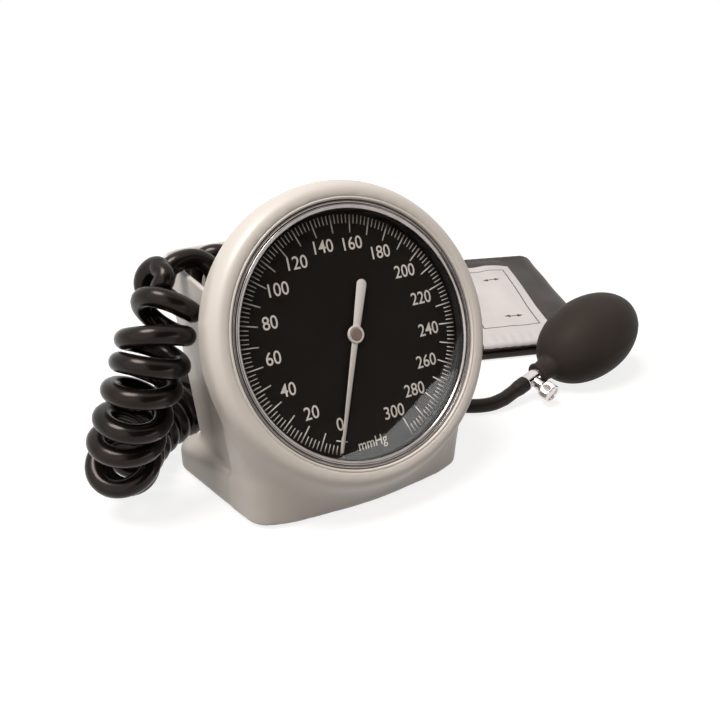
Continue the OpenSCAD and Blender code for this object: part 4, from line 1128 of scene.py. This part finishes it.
def addStitches():
    shape = Shape()
    edge, step, long, width = (cuff[k] for k in ("border", "stitchGap", "stitch", "width"))
    runs = [((x, y), (x + long, y)) for y in (edge, width - edge)
            for x in np.arange(edge, cuff["stitchedTo"], step)]
    runs += [((edge, y), (edge, y + long)) for y in np.arange(edge, width - edge, step)]
    for a, b in runs:
        if cuff["labelLeft"] - 3 < a[0] < cuff["labelRight"] + 1 and a[1] < cuff["labelFar"]:
            continue  # the label hides it
        a, b = np.array(a), np.array(b)
        way = unit(b - a)
        side = np.array((-way[1], way[0])) * cuff["stitchHalf"]
        points = []
        for t, high in ((0, -0.25), (0.15, 0.2), (0.5, 0.34), (0.85, 0.2), (1, -0.25)):
            c = a + (b - a) * t
            points += [upperPoint(*(c + out * side), high + rise)
                       for out, rise in ((-1, -0.25), (-0.6, 0), (0.6, 0), (1, -0.25))]
        shape.add(points, gridFaces(5, 4, across=True) + [(3, 2, 1, 0), (16, 17, 18, 19)])
    addPiece("cuffStitches", shape.points, shape.faces, "stand", finishes["thread"])


def wovenCloth(name, colour, darker, rough, thread, depth, sheen, sheenTint):
    # the threads' width and depth are in metres; a wave's bands lie 0.314 of its scale apart
    material, shader = newFinish(name, Base_Color=colour, Roughness=rough, Specular_IOR_Level=0.35,
                                 Sheen_Weight=sheen, Sheen_Roughness=0.4, Sheen_Tint=sheenTint)
    at = places(material, (0, 0, -math.radians(cuff["turned"])))
    vary(material, shader, at, colour, darker, 35, (0.3, 0.7), 5)
    bands = [addNode(material, "TexWave", {"Vector": at, "Scale": 0.314 / thread, "Distortion": 0.6,
                                           "Detail": 1.0}, bands_direction=way).outputs["Fac"]
             for way in ("X", "Y")]
    both = addNode(material, "Math", {0: bands[0], 1: bands[1]}, operation="MULTIPLY")
    addBump(material, shader, both.outputs[0], 0.6, depth)
    return material


finishes["nylon"] = wovenCloth("cuff nylon", (0.038, 0.030, 0.0265), (0.024, 0.019, 0.0165), 0.55,
                               0.0007, 0.00008, 0.26, (0.78, 0.70, 0.66))
finishes["label"] = wovenCloth("label cloth", (0.67, 0.63, 0.62), (0.62, 0.58, 0.57), 0.6, 0.0005,
                               0.00004, 0.1, (1, 1, 1))
finishes["ink"] = mouldedPlastic("label ink", (0.035, 0.033, 0.034), (0.025, 0.024, 0.025), 0.5, 0.6)
finishes["thread"] = mouldedPlastic("thread", (0.045, 0.04, 0.037), (0.03, 0.027, 0.025), 0.6, 0.7, 3000)
cuffPiece = addCuff()
labelPiece, labelPrint = addLabel()
addStitches()
print("cuff folded")


# floor, lamps and the white that is seen behind
studio = {
    "aim": (0.03, 0.0, 0.07), "world": 0.19, "worldTint": (1.0, 0.90, 0.82, 1),
    # the floor's size and height, how brightly it glows near and far, and where the one gives way
    "floor": 12, "floorAt": -0.0006, "floorGlow": (0.82, 1.0), "glowFrom": (0.34, 0.85),
    # each lamp's place, its size, its power, its colour and whether gloss shows it
    "lamps": {
        "topLamp": ((-0.50, -0.03, 1.42), 0.75, 24.0, (1.0, 0.985, 0.97), True),
        "frontLamp": ((-1.20, -0.56, 0.80), 2.0, 6.2, (1.0, 0.975, 0.955), True),
        "rightLamp": ((0.93, -1.08, 0.68), 0.9, 1.2, (1.0, 0.94, 0.88), False),
    },
    "strip": ((0.62, -0.96, 0.10), (0.75, 0.26), 1.35),
    # the dark card: how far in front it stands, and its edge across and up, in mm
    "cardAt": -0.9,
    "card": [(150, 112), (376, 119), (428, 124), (480, 136), (534, 155), (589, 179), (648, 205),
             (721, 232), (799, 275), (880, 335), (1000, 430), (1400, 800), (1400, 1500), (-400, 1500),
             (-400, 100)],
}


def addLamp(name, place, size, power, colour=(1, 1, 1)):
    data = bpy.data.lights.new(name, "AREA")
    data.shape, data.size, data.energy, data.color = "DISK", size, power, colour
    lamp = putIn(name, data)
    lamp.location = place
    lamp.rotation_euler = (Vector(studio["aim"]) - Vector(place)).to_track_quat("-Z", "Y").to_euler()
    lamp.visible_camera = False
    return lamp


def raysThatSee(tree):
    # 1 for what the camera sees straight on, in a reflection or through glass, and 0 for the rest
    path = tree.nodes.new("ShaderNodeLightPath")
    found = path.outputs["Is Camera Ray"]
    for name in ("Is Glossy Ray", "Is Transmission Ray"):
        either = tree.nodes.new("ShaderNodeMath")
        either.operation = "MAXIMUM"
        tree.links.new(found, either.inputs[0])
        tree.links.new(path.outputs[name], either.inputs[1])
        found = either.outputs[0]
    return found


def addFloor():
    bpy.ops.mesh.primitive_plane_add(size=studio["floor"], location=(0, 0, studio["floorAt"]))
    floor = bpy.context.active_object
    floor.name = "floor"
    material, shader = newFinish("floor paper", Roughness=0.9, Specular_IOR_Level=0.1)
    vary(material, shader, places(material), (0.27, 0.26, 0.25), (0.26, 0.25, 0.24), 3)
    # it glows a little less round the object, where its shadow lies, and is plain white further off
    apart = addNode(material, "VectorMath", {0: places(material)}, operation="LENGTH")
    (near, far), (dim, bright) = studio["glowFrom"], studio["floorGlow"]
    fade = addNode(material, "MapRange", {"Value": apart.outputs["Value"], "From Min": near,
                                          "From Max": far, "To Min": dim, "To Max": bright})
    glow = addNode(material, "Emission", {"Color": (1, 1, 1, 1), "Strength": fade.outputs["Result"]})
    lit = addNode(material, "AddShader", {0: shader.outputs[0], 1: glow.outputs[0]})
    both = addNode(material, "MixShader", {0: raysThatSee(material.node_tree), 1: shader.outputs[0],
                                           2: lit.outputs[0]})
    plug(material, both.outputs[0], material.node_tree.nodes["Material Output"].inputs["Surface"])
    floor.data.materials.append(material)


def addCard():
    # a dark card in front, out of view, that the lens reflects, cut along its lower edge so that a pale
    # strip of the room shows low down on the right of the glass
    mesh = bpy.data.meshes.new("darkCard")
    edge = studio["card"]
    mesh.from_pydata([(x * mm, studio["cardAt"], z * mm) for x, z in edge], [], [tuple(range(len(edge)))])
    card = putIn("darkCard", mesh)
    material, shader = newFinish("card black", Base_Color=(0.004, 0.003, 0.0025), Roughness=1.0,
                                 Specular_IOR_Level=0.0)
    mesh.materials.append(material)
    for way in ("camera", "diffuse", "shadow", "transmission", "volume_scatter"):
        setattr(card, "visible_" + way, False)


def addWorld():
    world = bpy.data.worlds.new("room")
    bpy.context.scene.world = world
    world.use_nodes = True
    nodes, links = world.node_tree.nodes, world.node_tree.links
    level = nodes.new("ShaderNodeMapRange")
    level.inputs["To Min"].default_value = studio["world"]
    level.inputs["To Max"].default_value = 1.0
    seen = raysThatSee(world.node_tree)
    links.new(seen, level.inputs["Value"])
    links.new(level.outputs["Result"], nodes["Background"].inputs["Strength"])
    tint = nodes.new("ShaderNodeMix")
    tint.data_type = "RGBA"
    tint.inputs["A"].default_value = studio["worldTint"]
    tint.inputs["B"].default_value = (1, 1, 1, 1)
    links.new(seen, tint.inputs["Factor"])
    links.new(tint.outputs["Result"], nodes["Background"].inputs["Color"])


addFloor()
addWorld()
for name, (place, size, power, colour, shown) in studio["lamps"].items():
    addLamp(name, place, size, power, colour).visible_glossy = shown
strip = addLamp("stripLamp", studio["strip"][0], 1, studio["strip"][2])
strip.data.shape = "RECTANGLE"
strip.data.size, strip.data.size_y = studio["strip"][1]
strip.visible_diffuse = False
addCard()
bpy.context.scene.view_settings.view_transform = "Standard"

# the cords' lengths, the cuff tube's first point and the bulb hose's last point, worked out here and not
# used
nodes = frame["nodes"]
lineLength(coilLine)
tuple(float(v) * mm for v in cuffTubeLine[0])
lineLength(cuffTubeLine)
tuple(float(v) * mm for v in bulbHoseLine[-1])
lineLength(bulbHoseLine)

# what each node that still shows is made of
nodeFinish = {
    "base": ["base_plate"], "feet": ["rubber_feet"], "seal": ["valve_seal"], "bronze": ["capsule"],
    "steel": ["housing_screws", "case_screws", "movement_screws", "movement_legs", "sector_arbor", "rocker",
              "hairspring", "inlet_ball"],
    "case": ["gauge_case", "spacer_ring"], "dial": ["dial_plate"],
    "brass": ["pinion_staff", "sector_gear", "front_plate", "back_plate", "plate_pillars", "capsule_stud"],
    "chrome": ["pressure_inlet", "connector_male", "connector_female", "inlet_valve", "valve_body"],
    "hose": ["tube_sleeves", "hose_end"],
}
for finish, names in nodeFinish.items():
    for name in names:
        for held in nodes[name].material_slots:
            held.material = finishes[finish]
print("nodes finished:", sum(len(names) for names in nodeFinish.values()))
